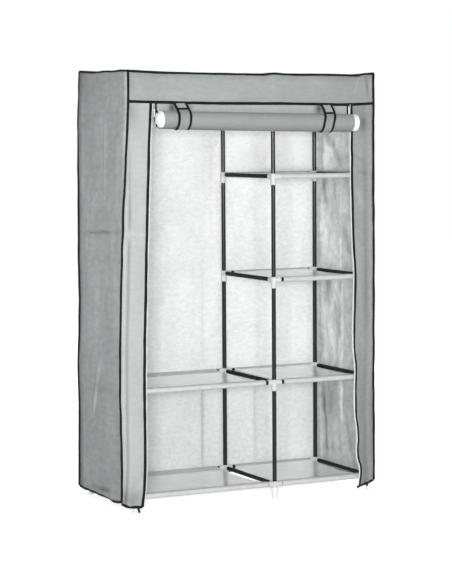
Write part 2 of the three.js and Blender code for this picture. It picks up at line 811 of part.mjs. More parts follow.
const sliderZ = stripTop - sliderDrop - sliderTall / 2;
const frontPlateY = planeFront - bindingThick - sliderSlot - sliderPlate / 2;
const backPlateY = planeFront + cloth + sliderSlot + sliderPlate / 2;
const eyeletZ = sliderZ - sliderTall / 2 + eyeletTall / 2;
const pinY = frontPlateY - sliderPlate / 2 - eyeletOut / 2;
for (const [side, x] of [["left", openLeft + zipGap / 2], ["right", openRight - zipGap / 2]]) {
  const body = union([
    block(x, frontPlateY, sliderZ, sliderWide, sliderPlate, sliderTall),
    block(x, backPlateY, sliderZ, sliderWide, sliderPlate, sliderTall),
    block(x, (frontPlateY + backPlateY) / 2, sliderZ, sliderBridge, backPlateY - frontPlateY, sliderTall),
    block(x, frontPlateY - eyeletOut / 2, eyeletZ, eyeletWide, eyeletOut + sliderPlate, eyeletTall),
  ]);
  const hole = turned([[0, -pullWide], [pinHoleRadius, -pullWide], [pinHoleRadius, pullWide], [0, pullWide]], 8);
  along(hole, "+x");
  hole.translate(x, pinY, eyeletZ);
  addMesh(`zip_slider_${side}`, toGeometry(body.subtract(toSolid(hole))), colours.zip);
  const tabZ = eyeletZ + pullBarRadius - pullLength / 2;
  const tab = block(x, pinY, tabZ, pullWide, pullThick, pullLength);
  const windowZ = eyeletZ - pullBarRadius - pullWindowTall / 2;
  const windowBlock = block(x, pinY, windowZ, pullWindowWide, 2 * pullThick, pullWindowTall);
  addMesh(`zip_pull_${side}`, toGeometry(tab.subtract(windowBlock)), colours.zip);
}

export default group;
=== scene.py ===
import math

import bpy
import numpy as np
from mathutils import Matrix, Vector


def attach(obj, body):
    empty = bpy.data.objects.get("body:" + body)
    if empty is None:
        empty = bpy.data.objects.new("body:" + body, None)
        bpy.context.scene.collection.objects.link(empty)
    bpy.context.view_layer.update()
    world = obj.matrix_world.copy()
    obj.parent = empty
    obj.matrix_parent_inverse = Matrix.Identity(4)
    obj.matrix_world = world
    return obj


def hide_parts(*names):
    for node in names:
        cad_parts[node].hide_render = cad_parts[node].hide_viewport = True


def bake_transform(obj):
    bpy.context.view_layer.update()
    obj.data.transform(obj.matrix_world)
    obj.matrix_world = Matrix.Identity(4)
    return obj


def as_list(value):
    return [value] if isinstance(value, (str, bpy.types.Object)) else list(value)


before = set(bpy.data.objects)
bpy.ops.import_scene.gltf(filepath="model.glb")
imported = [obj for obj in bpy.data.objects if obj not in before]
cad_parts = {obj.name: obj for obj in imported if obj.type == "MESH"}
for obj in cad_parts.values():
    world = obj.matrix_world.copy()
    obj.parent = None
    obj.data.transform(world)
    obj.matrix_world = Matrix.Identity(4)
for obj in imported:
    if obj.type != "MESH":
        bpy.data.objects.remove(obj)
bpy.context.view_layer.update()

millimetre = 0.001


# camera and studio: the camera's place in millimetres and its angles in degrees, the studio in metres

shot = {"place": (-3315.6, -6653.8, 1376.2), "turn": 26.42, "dip": 4.58, "lean": -0.404, "focal": 1947.5,
        "tall": 584, "sensor": 36.0, "farthest": 100.0}
studio = {
    "floorSize": 30.0, "floorTone": 0.90, "floorGlow": 0.66, "worldTone": (0.96, 0.98, 1.0),
    "worldLevel": 0.42,
    "lamps": [
        # name, place, aimed at, size, power, colour
        ("lampKey", (-3.7, -6.4, 1.33), (0.0, 0.0, 0.95), 0.8, 207.0, (1.0, 0.995, 0.985)),
        ("lampFill", (-2.3, -6.4, 1.3), (0.0, 0.0, 0.9), 0.9, 159.0, (1.0, 1.0, 1.0)),
        ("lampBack", (3.0, 5.4, 3.2), (0.0, 0.0, 0.9), 2.6, 200.0, (1.0, 1.0, 1.0)),
    ],
}


def placed(name, data):
    # a new object that holds the data, in the scene
    made = bpy.data.objects.new(name, data)
    bpy.context.collection.objects.link(made)
    return made


def setCamera():
    # the look direction is turned right of +Y and dipped below level; the frame leans about it
    turn, dip, lean = (math.radians(shot[k]) for k in ("turn", "dip", "lean"))
    look = Vector((math.sin(turn) * math.cos(dip), math.cos(turn) * math.cos(dip), -math.sin(dip)))
    right = Vector((math.cos(turn), -math.sin(turn), 0.0))
    up = right.cross(look)
    across = right * math.cos(lean) + up * math.sin(lean)
    above = up * math.cos(lean) - right * math.sin(lean)
    lens = bpy.data.cameras.new("photoCamera")
    lens.sensor_fit, lens.sensor_height = "VERTICAL", shot["sensor"]
    lens.lens, lens.clip_end = shot["focal"] * shot["sensor"] / shot["tall"], shot["farthest"]
    camera = placed("photoCamera", lens)
    facing = Matrix((across, above, -look)).transposed().to_4x4()
    camera.matrix_world = Matrix.Translation(Vector(shot["place"]) * millimetre) @ facing
    bpy.context.scene.camera = camera
    bpy.context.scene.view_settings.view_transform = "Standard"


setCamera()
print("camera set")


# materials

mean = 0.5  # of every noise


class Wire:
    # one output of a material's node; sums and products of wires and numbers become Math nodes
    def __init__(self, finish, socket):
        self.finish = finish
        self.socket = socket

    def math(self, operation, *values):
        inputs = dict(enumerate((self,) + values))
        return self.finish.node("ShaderNodeMath", {"operation": operation}, inputs)

    def __add__(self, other):
        return self.math("ADD", other)

    def __sub__(self, other):
        return self.math("SUBTRACT", other)

    def __rsub__(self, other):
        return self.finish.node("ShaderNodeMath", {"operation": "SUBTRACT"}, {0: other, 1: self})

    def __mul__(self, other):
        return self.math("MULTIPLY", other)

    __radd__ = __add__
    __rmul__ = __mul__


class Finish:
    # a material and its nodes
    def __init__(self, name):
        self.material = bpy.data.materials.new(name)
        self.material.use_nodes = True
        self.tree = self.material.node_tree
        self.tree.nodes.clear()

    def node(self, kind, settings=None, values=None, out=0):
        # the settings are set first, then each socket's value or link
        made = self.tree.nodes.new(kind)
        for key, value in (settings or {}).items():
            setattr(made, key, value)
        for key, value in (values or {}).items():
            if isinstance(value, Wire):
                self.tree.links.new(value.socket, made.inputs[key])
            else:
                made.inputs[key].default_value = value
        return Wire(self, made.outputs[out])

    def place(self):
        return self.node("ShaderNodeTexCoord", out=3)

    def pattern(self):
        return self.node("ShaderNodeTexCoord", out=2)

    def noise(self, place, scale, detail=2.0, roughness=0.5):
        return self.node("ShaderNodeTexNoise", {}, {"Vector": place, "Scale": scale, "Detail": detail,
                                                    "Roughness": roughness})

    def vector(self, operation, values, out=0):
        return self.node("ShaderNodeVectorMath", {"operation": operation}, values, out)

    def tinted(self, colour, shade):
        # the colour's three parts each times the shade
        return self.vector("SCALE", {0: colour, "Scale": shade})

    def between(self, value, low, high, atLow, atHigh, step="LINEAR"):
        ends = {"Value": value, "From Min": low, "From Max": high, "To Min": atLow, "To Max": atHigh}
        return self.node("ShaderNodeMapRange", {"interpolation_type": step}, ends)

    def bump(self, height, distance, strength):
        values = {"Height": height, "Distance": distance, "Strength": strength}
        return self.node("ShaderNodeBump", {}, values)

    def output(self, shader):
        made = self.tree.nodes.new("ShaderNodeOutputMaterial")
        self.tree.links.new(shader.socket, made.inputs["Surface"])
        return self.material

    def finished(self, colour, shade, rough, gloss, bump, **others):
        # the main shader; the others are named by their sockets with the spaces left out
        values = {"Base Color": self.tinted(colour, shade), "Roughness": rough, "Specular IOR Level": gloss,
                  "Normal": self.bump(*bump)}
        values.update({sockets[key]: value for key, value in others.items()})
        return self.output(self.node("ShaderNodeBsdfPrincipled", {}, values))


sockets = {"metal": "Metallic", "sheen": "Sheen Weight", "sheenRough": "Sheen Roughness",
           "coat": "Coat Weight", "coatRough": "Coat Roughness"}
pressed = {"dot": 0.0022, "dotIn": 0.18, "dotOut": 0.34, "dotShade": 0.02, "depth": 0.00025}


def clothFinish(name, colour, cloud=0.45, fleck=0.2, fibre=0.12, rough=0.86, gloss=0.3, sheen=0.08, dots=0.5,
                drawn=(34.0, 72.0), coat=0.0):
    # pressed fibre cloth: shade is 1 plus clouds drawn out sideways, fine flecks and fibres, each a noise
    # about its mean, times the piece's own painted shade and painted light of folds, creases and shadows;
    # the bump adds rows of small pressed dots
    look = Finish(name)
    place, pattern = look.place(), look.pattern()

    def drawnOut(along, up, detail):
        return look.noise(look.vector("MULTIPLY", {0: pattern, 1: (along, up, 1.0)}), 1.0, detail, 0.68)
    clouds, fibres = drawnOut(*drawn, 5.0), drawnOut(90.0, 620.0, 2.0)
    # folds is the piece's shade attribute: painted shade and painted light
    folds = look.node("ShaderNodeAttribute", {"attribute_name": "shade"}, out=2)
    broad, fine = look.noise(place, 9.0), look.noise(place, 260.0, 2.0, 0.6)
    cell = look.vector("SCALE", {0: pattern, "Scale": 1.0 / pressed["dot"]})
    away = look.vector("DISTANCE", {0: look.vector("FRACTION", {0: cell}), 1: (0.5, 0.5, 0.0)}, out=1)
    pit = look.between(away, pressed["dotIn"], pressed["dotOut"], 0.0, 1.0, "SMOOTHSTEP")
    shade = 1.0 + (clouds - mean) * cloud + (broad - mean) * cloud * 0.4
    shade = shade + (fine - mean) * fleck + (fibres - mean) * fibre
    shade = (shade - (1.0 - pit) * pressed["dotShade"]) * (folds + 1.0)
    height = pit * dots + fine * 0.8 + fibres * 0.3
    return look.finished(colour, shade, (fine - mean) * 0.12 + rough, gloss, (height, pressed["depth"], 0.6),
                         sheen=sheen, sheenRough=0.5, coat=coat, coatRough=0.2)


def tapeFinish(name, colour, rib=0.0011, gloss=0.35):
    # woven tape: fine ribs across the tape's length and a slight unevenness along it
    look = Finish(name)
    across = look.node("ShaderNodeSeparateXYZ", {}, {0: look.pattern()}, out=1)
    ribs = (across * (2 * math.pi / rib)).math("SINE")
    uneven = look.noise(look.place(), 140.0)
    shade = 1.0 + ribs * 0.08 + (uneven - mean) * 0.5
    height = ribs * 0.5 + uneven
    return look.finished(colour, shade, (uneven - mean) * 0.2 + 0.7, gloss, (height, 0.00018, 0.5))


def coatFinish(name, colour, rough, metal=0.0, gloss=0.5, dull=0.0):
    # sprayed coat: an even colour with a fine orange peel and faint rubbed places, duller lower down
    look = Finish(name)
    place = look.place()
    peel, worn = look.noise(place, 900.0), look.noise(place, 22.0, 3.0, 0.6)
    shade = 1.0 + (worn - mean) * 0.35 + (peel - mean) * 0.12
    scuffed = look.between(look.node("ShaderNodeSeparateXYZ", {}, {0: place}, out=2), 0.75, 1.3, dull, 0.0)
    rubbed = (worn - mean) * 0.1 + scuffed + rough
    return look.finished(colour, shade, rubbed, gloss, (peel, 0.00012, 0.35), metal=metal)


def mouldedFinish(name, colour, rough):
    # moulded plastic: slight flow marks and a soft sheen
    look = Finish(name)
    place = look.place()
    flow, skin = look.noise(place, 60.0), look.noise(place, 1400.0, 1.0)
    return look.finished(colour, 1.0 + (flow - mean) * 0.06, (flow - mean) * 0.12 + rough, 0.5,
                         (skin + flow, 0.00008, 0.3))


def cloths(finishes):
    # one cloth finish for each name, from its colour and what differs from the usual
    return {name: clothFinish(name, colour, **rest) for name, (colour, rest) in finishes.items()}


looks = cloths({
    # the cover is one grey cloth: these copies of it are set lighter or darker from part to part to stand
    # for how each part is lit, painted light and shade
    "coverHeader": ((0.35, 0.372, 0.367), {"cloud": 0.36}),
    "coverRoll": ((0.315, 0.336, 0.331), {"cloud": 0.2}),
    "coverCurtain": ((0.43, 0.455, 0.45), {"cloud": 0.2}),
    "coverSide": ((0.392, 0.416, 0.411), {"cloud": 0.75, "fibre": 0.2, "drawn": (18.0, 48.0)}),
    "coverStripLeft": ((0.465, 0.489, 0.479), {"cloud": 0.3}),
    "coverStripRight": ((0.318, 0.339, 0.334), {"cloud": 0.42}),
    "coverTop": ((0.40, 0.424, 0.419), {"cloud": 0.4}),
    "lining": ((0.885, 0.89, 0.89), {"cloud": 0.50, "fleck": 0.38, "fibre": 0.10, "drawn": (46.0, 72.0)}),
    # the right side's lining: a darker copy of the lining with strong blotches, painted shade of the inside
    # of the right side and of its wrinkles
    "liningSideShaded": ((0.66, 0.682, 0.668), {"cloud": 1.0, "fleck": 0.6, "fibre": 0.2, "drawn": (30.0, 30.0)}),
    "shelfCloth": ((0.93, 0.945, 0.94), {"cloud": 0.3, "rough": 0.24, "gloss": 0.9, "sheen": 0.0,
                                         "dots": 0.05, "coat": 0.6}),
    # the sleeves round the tubes: a darker, duller copy of the shelf cloth, partly the dark tube showing
    # through the thin cloth, partly painted shade
    "shelfSleeve": ((0.60, 0.615, 0.61), {"cloud": 0.3, "rough": 0.7, "gloss": 0.15, "sheen": 0.0}),
    "shelfHem": ((0.80, 0.81, 0.81), {"rough": 0.6}),
})
looks.update({
    "edging": tapeFinish("edging", (0.008, 0.0095, 0.0092), gloss=0.15),
    "zipTape": tapeFinish("zipTape", (0.88, 0.885, 0.88), rib=0.0016),
    # the roll's tape: a brighter copy of the zip tape, painted light, so that the roll's end shows white
    # though it faces away from the lamps
    "rollTapeLit": tapeFinish("rollTapeLit", (0.97, 0.975, 0.97), rib=0.0016),
    "zipTeeth": mouldedFinish("zipTeeth", (0.88, 0.885, 0.875), 0.42),
    "zipMetal": coatFinish("zipMetal", (0.60, 0.60, 0.59), 0.34, metal=0.9),
    "tubeCoat": coatFinish("tubeCoat", (0.0065, 0.0076, 0.0076), 0.2, gloss=0.32, dull=0.34),
    # the tubes that run front to back: a darker copy of the tube coat, painted shade
    "tubeCoatShaded": coatFinish("tubeCoatShaded", (0.004, 0.0048, 0.0048), 0.5, gloss=0.12),
    "tubeInside": coatFinish("tubeInside", (0.10, 0.10, 0.10), 0.6, metal=0.6),
    "connector": mouldedFinish("connector", (0.66, 0.667, 0.663), 0.55),
    "footPlastic": mouldedFinish("footPlastic", (0.90, 0.905, 0.90), 0.55),
    "greyThread": tapeFinish("greyThread", (0.36, 0.37, 0.37), rib=0.0006),
})
print("materials made")


# meshes, in millimetres until they become a piece

def unit(vectors):
    # each vector divided by its own length
    return vectors / np.maximum(np.linalg.norm(vectors, axis=-1, keepdims=True), 1e-9)


def reach(points, axis=0):
    # how far each point lies along its row or column, as the sum of the steps up to it
    steps = np.linalg.norm(np.diff(points, axis=axis), axis=-1)
    return np.concatenate([0 * steps.take([0], axis), np.cumsum(steps, axis)], axis)


def looped(points):
    # the points with the first one again at the end
    return np.concatenate([points, points[:1]])


def gridQuads(rows, across, ringAcross=False, ringUp=False):
    # corner numbers of each face of a grid, wrapped where the grid closes on itself
    r, c = np.meshgrid(np.arange(rows - (not ringUp)), np.arange(across - (not ringAcross)), indexing="ij")
    above, beside = (r + 1) % rows * across, (c + 1) % across
    return np.stack([r * across + c, r * across + beside, above + beside, above + c], -1).reshape(-1, 4)


def gridPattern(u, v):
    # the pattern place of each face's four corners, from the places of the grid's columns and rows
    corners = [np.stack([part[:-1, :-1], part[:-1, 1:], part[1:, 1:], part[1:, :-1]], -1)
               for part in np.broadcast_arrays(u * millimetre, v * millimetre)]
    return np.stack(corners, -1).reshape(-1, 4, 2)


def gridNormals(points):
    # the cross product of the steps along the columns and along the rows
    return unit(np.cross(np.gradient(points, axis=1), np.gradient(points, axis=0)))


def shell(points, quads, pattern=None, finish=0, caps=(), shade=0.0):
    # one part of a piece: its faces are quads, and the caps are faces of any number of corners
    points = np.asarray(points, float).reshape(-1, 3)
    if pattern is None:
        pattern = np.zeros((len(quads), 4, 2))
    return {"points": points, "quads": quads, "pattern": pattern,
            "finish": np.broadcast_to(finish, (len(quads),)),
            "caps": [list(map(int, cap)) for cap in caps], "shade": np.broadcast_to(shade, (len(points),))}


def clothShell(points, thickness, finish=(0, 1), third=None, rimFinish=0, shade=(0.0, 0.0)):
    # two layers a thickness apart along the surface's normals, closed round the rim; the faces that are
    # named third take the piece's third finish; the shades are painted shade and painted light on the outer
    # and the inner layer
    rows, across = points.shape[:2]
    count = rows * across
    shades = np.concatenate([np.broadcast_to(part, (rows, across)).ravel() for part in shade])
    depth = np.broadcast_to(thickness, (rows, across))[..., None]
    layers = np.concatenate([points.reshape(-1, 3), (points - gridNormals(points) * depth).reshape(-1, 3)])
    outside = gridQuads(rows, across)
    grid = np.arange(count).reshape(rows, across)
    rim = np.concatenate([grid[0], grid[1:, -1], grid[-1, -2::-1], grid[-2:0:-1, 0]])
    following = np.roll(rim, -1)
    edge = np.stack([following, rim, rim + count, following + count], -1)
    pattern = gridPattern(reach(points, 1), reach(points, 0))
    outer, inner = (np.full(len(outside), part) for part in finish)
    if third is not None:
        flags = np.broadcast_to(third, (rows - 1, across - 1)).ravel()
        outer, inner = np.where(flags, 2, outer), np.where(flags, 2, inner)
    return shell(layers, np.concatenate([outside, outside[:, ::-1] + count, edge]),
                 np.concatenate([pattern, pattern[:, ::-1], np.zeros((len(edge), 4, 2))]),
                 np.concatenate([outer, inner, np.full(len(edge), rimFinish)]), shade=shades)


def sectionAlong(path, outward, section, finish=0, closed=False, swell=1.0):
    # a closed section carried along a path; its first axis keeps towards outward, its second is across both
    path, section = np.asarray(path, float), np.asarray(section, float)
    around = np.roll(path, -1, 0) - np.roll(path, 1, 0) if closed else np.gradient(path, axis=0)
    run = unit(around)
    side = unit(np.cross(run, np.broadcast_to(np.asarray(outward, float), path.shape)))
    first = np.cross(side, run)
    size = np.broadcast_to(swell, (len(path),))[:, None, None]
    points = path[:, None] + size * (section[None, :, :1] * first[:, None]
                                     + section[None, :, 1:] * side[:, None])
    many = len(section)
    quads = gridQuads(len(path), many, ringAcross=True, ringUp=closed)
    pattern = gridPattern(reach(looped(section))[None, :], reach(looped(path) if closed else path)[:, None])
    caps = () if closed else (range(many - 1, -1, -1), range((len(path) - 1) * many, len(path) * many))
    return shell(points, quads, pattern, finish, caps)


def roundSection(wide, thick, sides=12, square=3.0):
    # a superellipse: each axis takes the cosine or sine to the power two over the squareness
    angle = np.arange(sides) * 2 * np.pi / sides + np.pi / sides
    return np.stack([size / 2 * np.sign(part) * np.abs(part) ** (2.0 / square)
                     for size, part in ((wide, np.cos(angle)), (thick, np.sin(angle)))], -1)


facings = {
    "+z": ((1, 0, 0), (0, 1, 0), (0, 0, 1)),
    "+x": ((0, 1, 0), (0, 0, 1), (1, 0, 0)), "-x": ((0, 1, 0), (0, 0, -1), (-1, 0, 0)),
    "+y": ((0, 0, 1), (1, 0, 0), (0, 1, 0)), "-y": ((0, 0, 1), (-1, 0, 0), (0, -1, 0)),
}


def turned(profile, place, facing="+z", sides=30, ring=False):
    # a profile of radius and height turned about an axis: (r cos a, r sin a, h) in the facing's own axes
    profile = np.asarray(profile, float)
    angle = np.arange(sides) * 2 * np.pi / sides
    local = np.stack([profile[:, :1] * np.cos(angle), profile[:, :1] * np.sin(angle),
                      np.repeat(profile[:, 1:], sides, 1)], -1)
    girths = np.arange(sides + 1) * 2 * np.pi / sides * profile[:, 0].max()
    last = (len(profile) - 1) * sides
    return shell(local @ np.array(facings[facing], float) + np.asarray(place, float),
                 gridQuads(len(profile), sides, ringAcross=True, ringUp=ring),
                 gridPattern(girths[None, :], reach(looped(profile) if ring else profile)[:, None]), 0,
                 () if ring else (range(sides - 1, -1, -1), range(last, last + sides)))


def strewn(places, runs, ups, sizes, finish=0):
    # one small rounded bar for each place: a six-sided body drawn in at both ends
    long, wide, thick = sizes
    shares = np.array([[-0.5, 0.45], [-0.3, 1.0], [0.3, 1.0], [0.5, 0.45]])
    angle = np.arange(6) * np.pi / 3
    runs = unit(runs)
    sideways = unit(np.cross(unit(ups), runs))
    body = np.stack([np.repeat(shares[:, :1] * long, 6, 1), shares[:, 1:] * np.cos(angle) * wide / 2,
                     shares[:, 1:] * np.sin(angle) * thick / 2], -1).reshape(-1, 3)
    axes = np.stack([runs, sideways, np.cross(runs, sideways)], 1)
    ends = [[3, 2, 1, 0], [5, 4, 3, 0], [18, 19, 20, 21], [18, 21, 22, 23]]
    quads = np.concatenate([gridQuads(4, 6, ringAcross=True), ends])
    firsts = len(body) * np.arange(len(places))[:, None, None]
    return shell(places[:, None] + body @ axes, (quads[None] + firsts).reshape(-1, 4), None, finish)


def addPiece(name, shells, finishes, body, slot, nodes=(), crease=50.0, ride=True):
    # joins the shells into one mesh at the origin, marks hard edges by angle and names what carries it
    def joined(key):
        return np.concatenate([s[key] for s in shells])
    starts = np.cumsum([0] + [len(s["points"]) for s in shells])
    quads = np.concatenate([s["quads"] + start for s, start in zip(shells, starts)])
    caps = [[int(corner + start) for corner in cap] for s, start in zip(shells, starts) for cap in s["caps"]]
    mesh = bpy.data.meshes.new(name)
    mesh.from_pydata(joined("points") * millimetre, [], quads.tolist() + caps)
    pattern = np.concatenate([joined("pattern").reshape(-1, 2), np.zeros((sum(map(len, caps)), 2))])
    mesh.uv_layers.new(name="pattern").data.foreach_set("uv", pattern.ravel())
    for finish in finishes:
        mesh.materials.append(looks[finish])
    numbers = np.concatenate([joined("finish"), np.zeros(len(caps))]).astype(np.int32)
    mesh.polygons.foreach_set("material_index", numbers)
    # each point's painted shade and painted light, kept as the shade attribute for the cloth finishes
    shades = joined("shade").astype(np.float32)
    mesh.attributes.new("shade", "FLOAT", "POINT").data.foreach_set("value", shades)
    mesh.shade_smooth()
    mesh.set_sharp_from_angle(angle=math.radians(crease))
    mesh.validate()
    piece = placed(name, mesh)
    if ride:
        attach(piece, body)
    if nodes:
        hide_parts(*nodes)
    return piece


# shapes in numbers

def triple(x, y, z):
    # three arrays of any matching shapes, put together as points
    return np.stack(np.broadcast_arrays(x, y, z), -1).astype(float)


def ramp(t):
    # from 0 to 1 with level ends: three times the square less twice the cube
    t = np.clip(t, 0.0, 1.0)
    return t * t * (3 - 2 * t)


def bell(t, power=2):
    # one at the middle, falling off to both sides as an exponential of the even power
    return np.exp(-t ** power)


def fade(t):
    # one at the start, falling off as a plain exponential
    return np.exp(-t)


def through(at, known, values):
    # a smooth curve through known points: cubics whose slopes are the harmonic means of the chords' slopes
    known, values = np.asarray(known, float), np.asarray(values, float)
    chord = np.diff(values) / np.diff(known)
    slope = np.zeros(len(known))
    same = chord[:-1] * chord[1:] > 0
    slope[1:-1][same] = 2 * chord[:-1][same] * chord[1:][same] / (chord[:-1] + chord[1:])[same]
    slope[0], slope[-1] = chord[0], chord[-1]
    at = np.clip(at, known[0], known[-1])
    n = np.clip(np.searchsorted(known, at, side="right") - 1, 0, len(known) - 2)
    width = known[n + 1] - known[n]
    t = (at - known[n]) / width
    return (values[n] * (1 + 2 * t) * (1 - t) ** 2 + values[n + 1] * t * t * (3 - 2 * t)
            + width * (slope[n] * t * (1 - t) ** 2 - slope[n + 1] * t * t * (1 - t)))


def softNoise(a, b, seed, cells=64):
    # random heights from -1 to 1 on a square lattice, joined by smooth ramps
    table = np.random.default_rng(seed).uniform(-1, 1, (cells, cells))
    i, j = np.floor(a).astype(int), np.floor(b).astype(int)
    s, t = (part ** 3 * (part * (6 * part - 15) + 10) for part in (a - i, b - j))

    def at(p, q):
        return table[p % cells, q % cells]
    lower = at(i, j) * (1 - s) + at(i + 1, j) * s
    upper = at(i, j + 1) * (1 - s) + at(i + 1, j + 1) * s
    return lower * (1 - t) + upper * t


def crumple(a, b, seed, size, finer=0.45):
    # sharp folds: the folded edges of a noise, one minus its magnitude, at the size and at a finer one
    first, second = (1 - np.abs(softNoise(a / size / by, b / size / by, number)) * 2
                     for by, number in ((1, seed), (finer, seed + 1)))
    return 0.7 * first + 0.3 * second


def creases(a, b, lines):
    # for each line, its height times a bell across it, faded towards its ends
    total = np.zeros(np.broadcast(a, b).shape)
    for a0, b0, a1, b1, height, width in lines:
        da, db = a1 - a0, b1 - b0
        t = np.clip(((a - a0) * da + (b - b0) * db) / (da * da + db * db), 0, 1)
        away = np.hypot(a - a0 - t * da, b - b0 - t * db)
        total += height * bell(away / width) * np.clip(5 * t * (1 - t) + 0.15, 0, 1)
    return total


def patches(a, b, spots):
    # for each spot, its height times a bell of its own half width along each axis
    return sum(height * np.exp(-((a - a0) / halfA) ** 2 - ((b - b0) / halfB) ** 2)
               for a0, b0, halfA, halfB, height in spots)


def waves(a, b, settings, shown=1.0):
    # soft noises added: each has its height, its size along both axes and its seed
    noises = (height * softNoise(a / sizeA, b / sizeB, seed) for height, sizeA, sizeB, seed in settings)
    return sum(noises) * shown


# the cover's edges and the frame's places, in millimetres

poles = {
    "left": -476.7, "centre": 101.37, "right": 512.3, "front": -180.475, "back": 241.525,
    "levels": {"bottom": 57, "low": 446, "brace": 1024.15, "middle": 835, "high": 1224, "top": 1598},
    "tube": 8.0, "wall": 1.0, "bevel": 0.3, "sides": 32, "railY": 30.525,
}
levels = [0, 185, 417, 835, 1100, 1316, 1485]
cover = {
    "left": -494.7, "right": 526.2, "front": -197.475, "back": 259.525,
    "edge": 1606.9, "header": 1501.2, "thick": 0.8, "fold": 68, "leftEdge": -404.7, "rightEdge": 431.3,
    # how far each upright edge strays outwards, back or along the front, at heights above the floor
    "frontLeftOut": (levels, [36, 32.8, 36, 28, 19, 8.4, 0]),
    "frontLeftBack": (levels, [20, 18, 20, 16, 11, 3, 0]),
    "backLeftOut": ([0, 86, 223, 361, 498, 635, 773, 910, 1047, 1185, 1322, 1459, 1530, 1600],
                    [22, 21.3, 19.4, 17, 21, 13.5, 10.7, 12, 10, 9.4, 8.2, 5, 2.5, 0]),
    "openingLeftOut": (levels, [53.5, 38.5, 38.6, 29.7, 20, 12, 3]),
    "openingRightOut": ([0, 31, 55, 79, 103, 120, 147, 178, 210, 253, 305, 394, 484, 573, 662, 751, 840, 929,
                         1107, 1316, 1485],
                        [13, 18.5, 21.5, 24, 22, 16, 8.5, 7.5, 11, 10, 5.5, 8.5, 12, 5, 6.5, 9.7, 12.5, 8,
                         3.5, 0.5, -1]),
    "openingRightCurl": (levels, [22.5, 30, 12, 4.5, 0, 0, 0]),
    # how far each top edge lies above its level, at shares of its run
    "frontRim": ([0, 0.125, 0.295, 0.457, 0.54, 0.58, 0.625, 0.7, 0.746, 0.93, 0.963, 1],
                 [5, 0.4, -2.6, -4, -4.2, -0.2, -2.6, -3.6, -2.9, -5, 1.2, 2.6]),
    "leftRim": ([0, 0.17, 0.31, 0.46, 0.6, 0.75, 0.9, 1], [5, 7.2, 6.6, 9.3, 8.2, 8.8, 13, 15.5]),
    "backRim": ([0, 0.3, 0.6, 1], [15.5, 6, 5, 3]),
    "rightRim": ([0, 0.35, 0.7, 1], [2.6, 1, 2, 3]),
    "headerRim": ([0, 0.292, 0.455, 0.618, 0.862, 1], [1.5, -4.5, -5.3, -5.4, -9, -4.5]),
    # the height of each hem, at shares of its run
    "sideHem": ([0, 0.1, 0.2, 0.28, 0.5, 0.75, 1], [46, 38, 34.5, 38.5, 38.5, 36, 35.5]),
    "backHem": 39, "backHemEdging": ([0, 0.5, 1], [39, 41, 39]),
    "leftHem": ([0, 0.12, 0.3, 1], [39, 33, 29, 24]), "rightHem": ([0, 0.5, 1], [27, 33, 41]),
}
wide, deep = cover["right"] - cover["left"], cover["back"] - cover["front"]


def rim(key, at):
    # a curve through one of the cover's rows of known values
    return through(at, *cover[key])


def wander(z, size, seed):
    # a small sideways wander of an upright edge
    return softNoise(z / size, z * 0 + seed * 1.3, seed)


def cornerFrontLeft(z):
    # the front left seam: it strays outwards and back towards the floor
    return triple(cover["left"] - rim("frontLeftOut", z) + wander(z, 70, 5),
                  cover["front"] + rim("frontLeftBack", z), z)


def cornerBackLeft(z):
    # the back left seam: it strays outwards
    return triple(cover["left"] - rim("backLeftOut", z) + wander(z, 85, 6) * 0.8, cover["back"], z)


def cornerFrontRight(z):
    # the front right seam: upright, with a slight wander
    return triple(cover["right"] + wander(z, 90, 7) * 0.9, cover["front"], z)


def cornerBackRight(z):
    # the back right seam: upright, with a slight wander
    return triple(cover["right"] + wander(z, 90, 8) * 1.2, cover["back"], z)


def openingLeft(z):
    # the left strip's free edge: it strays towards the seam, more towards the floor
    return triple(cover["leftEdge"] - rim("openingLeftOut", z) + wander(z, 80, 9) * 0.8, cover["front"], z)


def openingRight(z):
    # the right strip's free edge: it strays towards the seam and curls forward near the floor
    return triple(cover["rightEdge"] + rim("openingRightOut", z) + wander(z, 60, 10) * 0.8,
                  cover["front"] - rim("openingRightCurl", z), z)


def headerLine(x):
    # the height of the header's lower edge at each place across
    return cover["header"] + rim("headerRim", (x - cover["left"]) / wide)


def blendPoints(first, second, share):
    # points at a share of the way between two lines
    return first + (second - first) * share[..., None]


# cover panels: lines are (from, to, height or shade, width), spots are (place, half widths, shade); the
# shades of lines and spots are painted shade and painted light, darker and lighter streaks and patches for
# creases, shadows and how the light falls

def panelGrid(panel):
    # shares across and up, for each point of the panel's grid
    rows, across = panel["grid"]
    return np.meshgrid(np.linspace(0, 1, across), np.linspace(0, 1, rows))


def hungPanel(panel, points, outer=0.0, inner=0.0):
    # the panel's cloth, with the painted shade and painted light of its outer and inner layer
    panel["piece"] = addPiece(panel["name"], [clothShell(points, cover["thick"], shade=(outer, inner))],
                              panel["looks"], "cover", "cover_cloth", [panel["node"]])


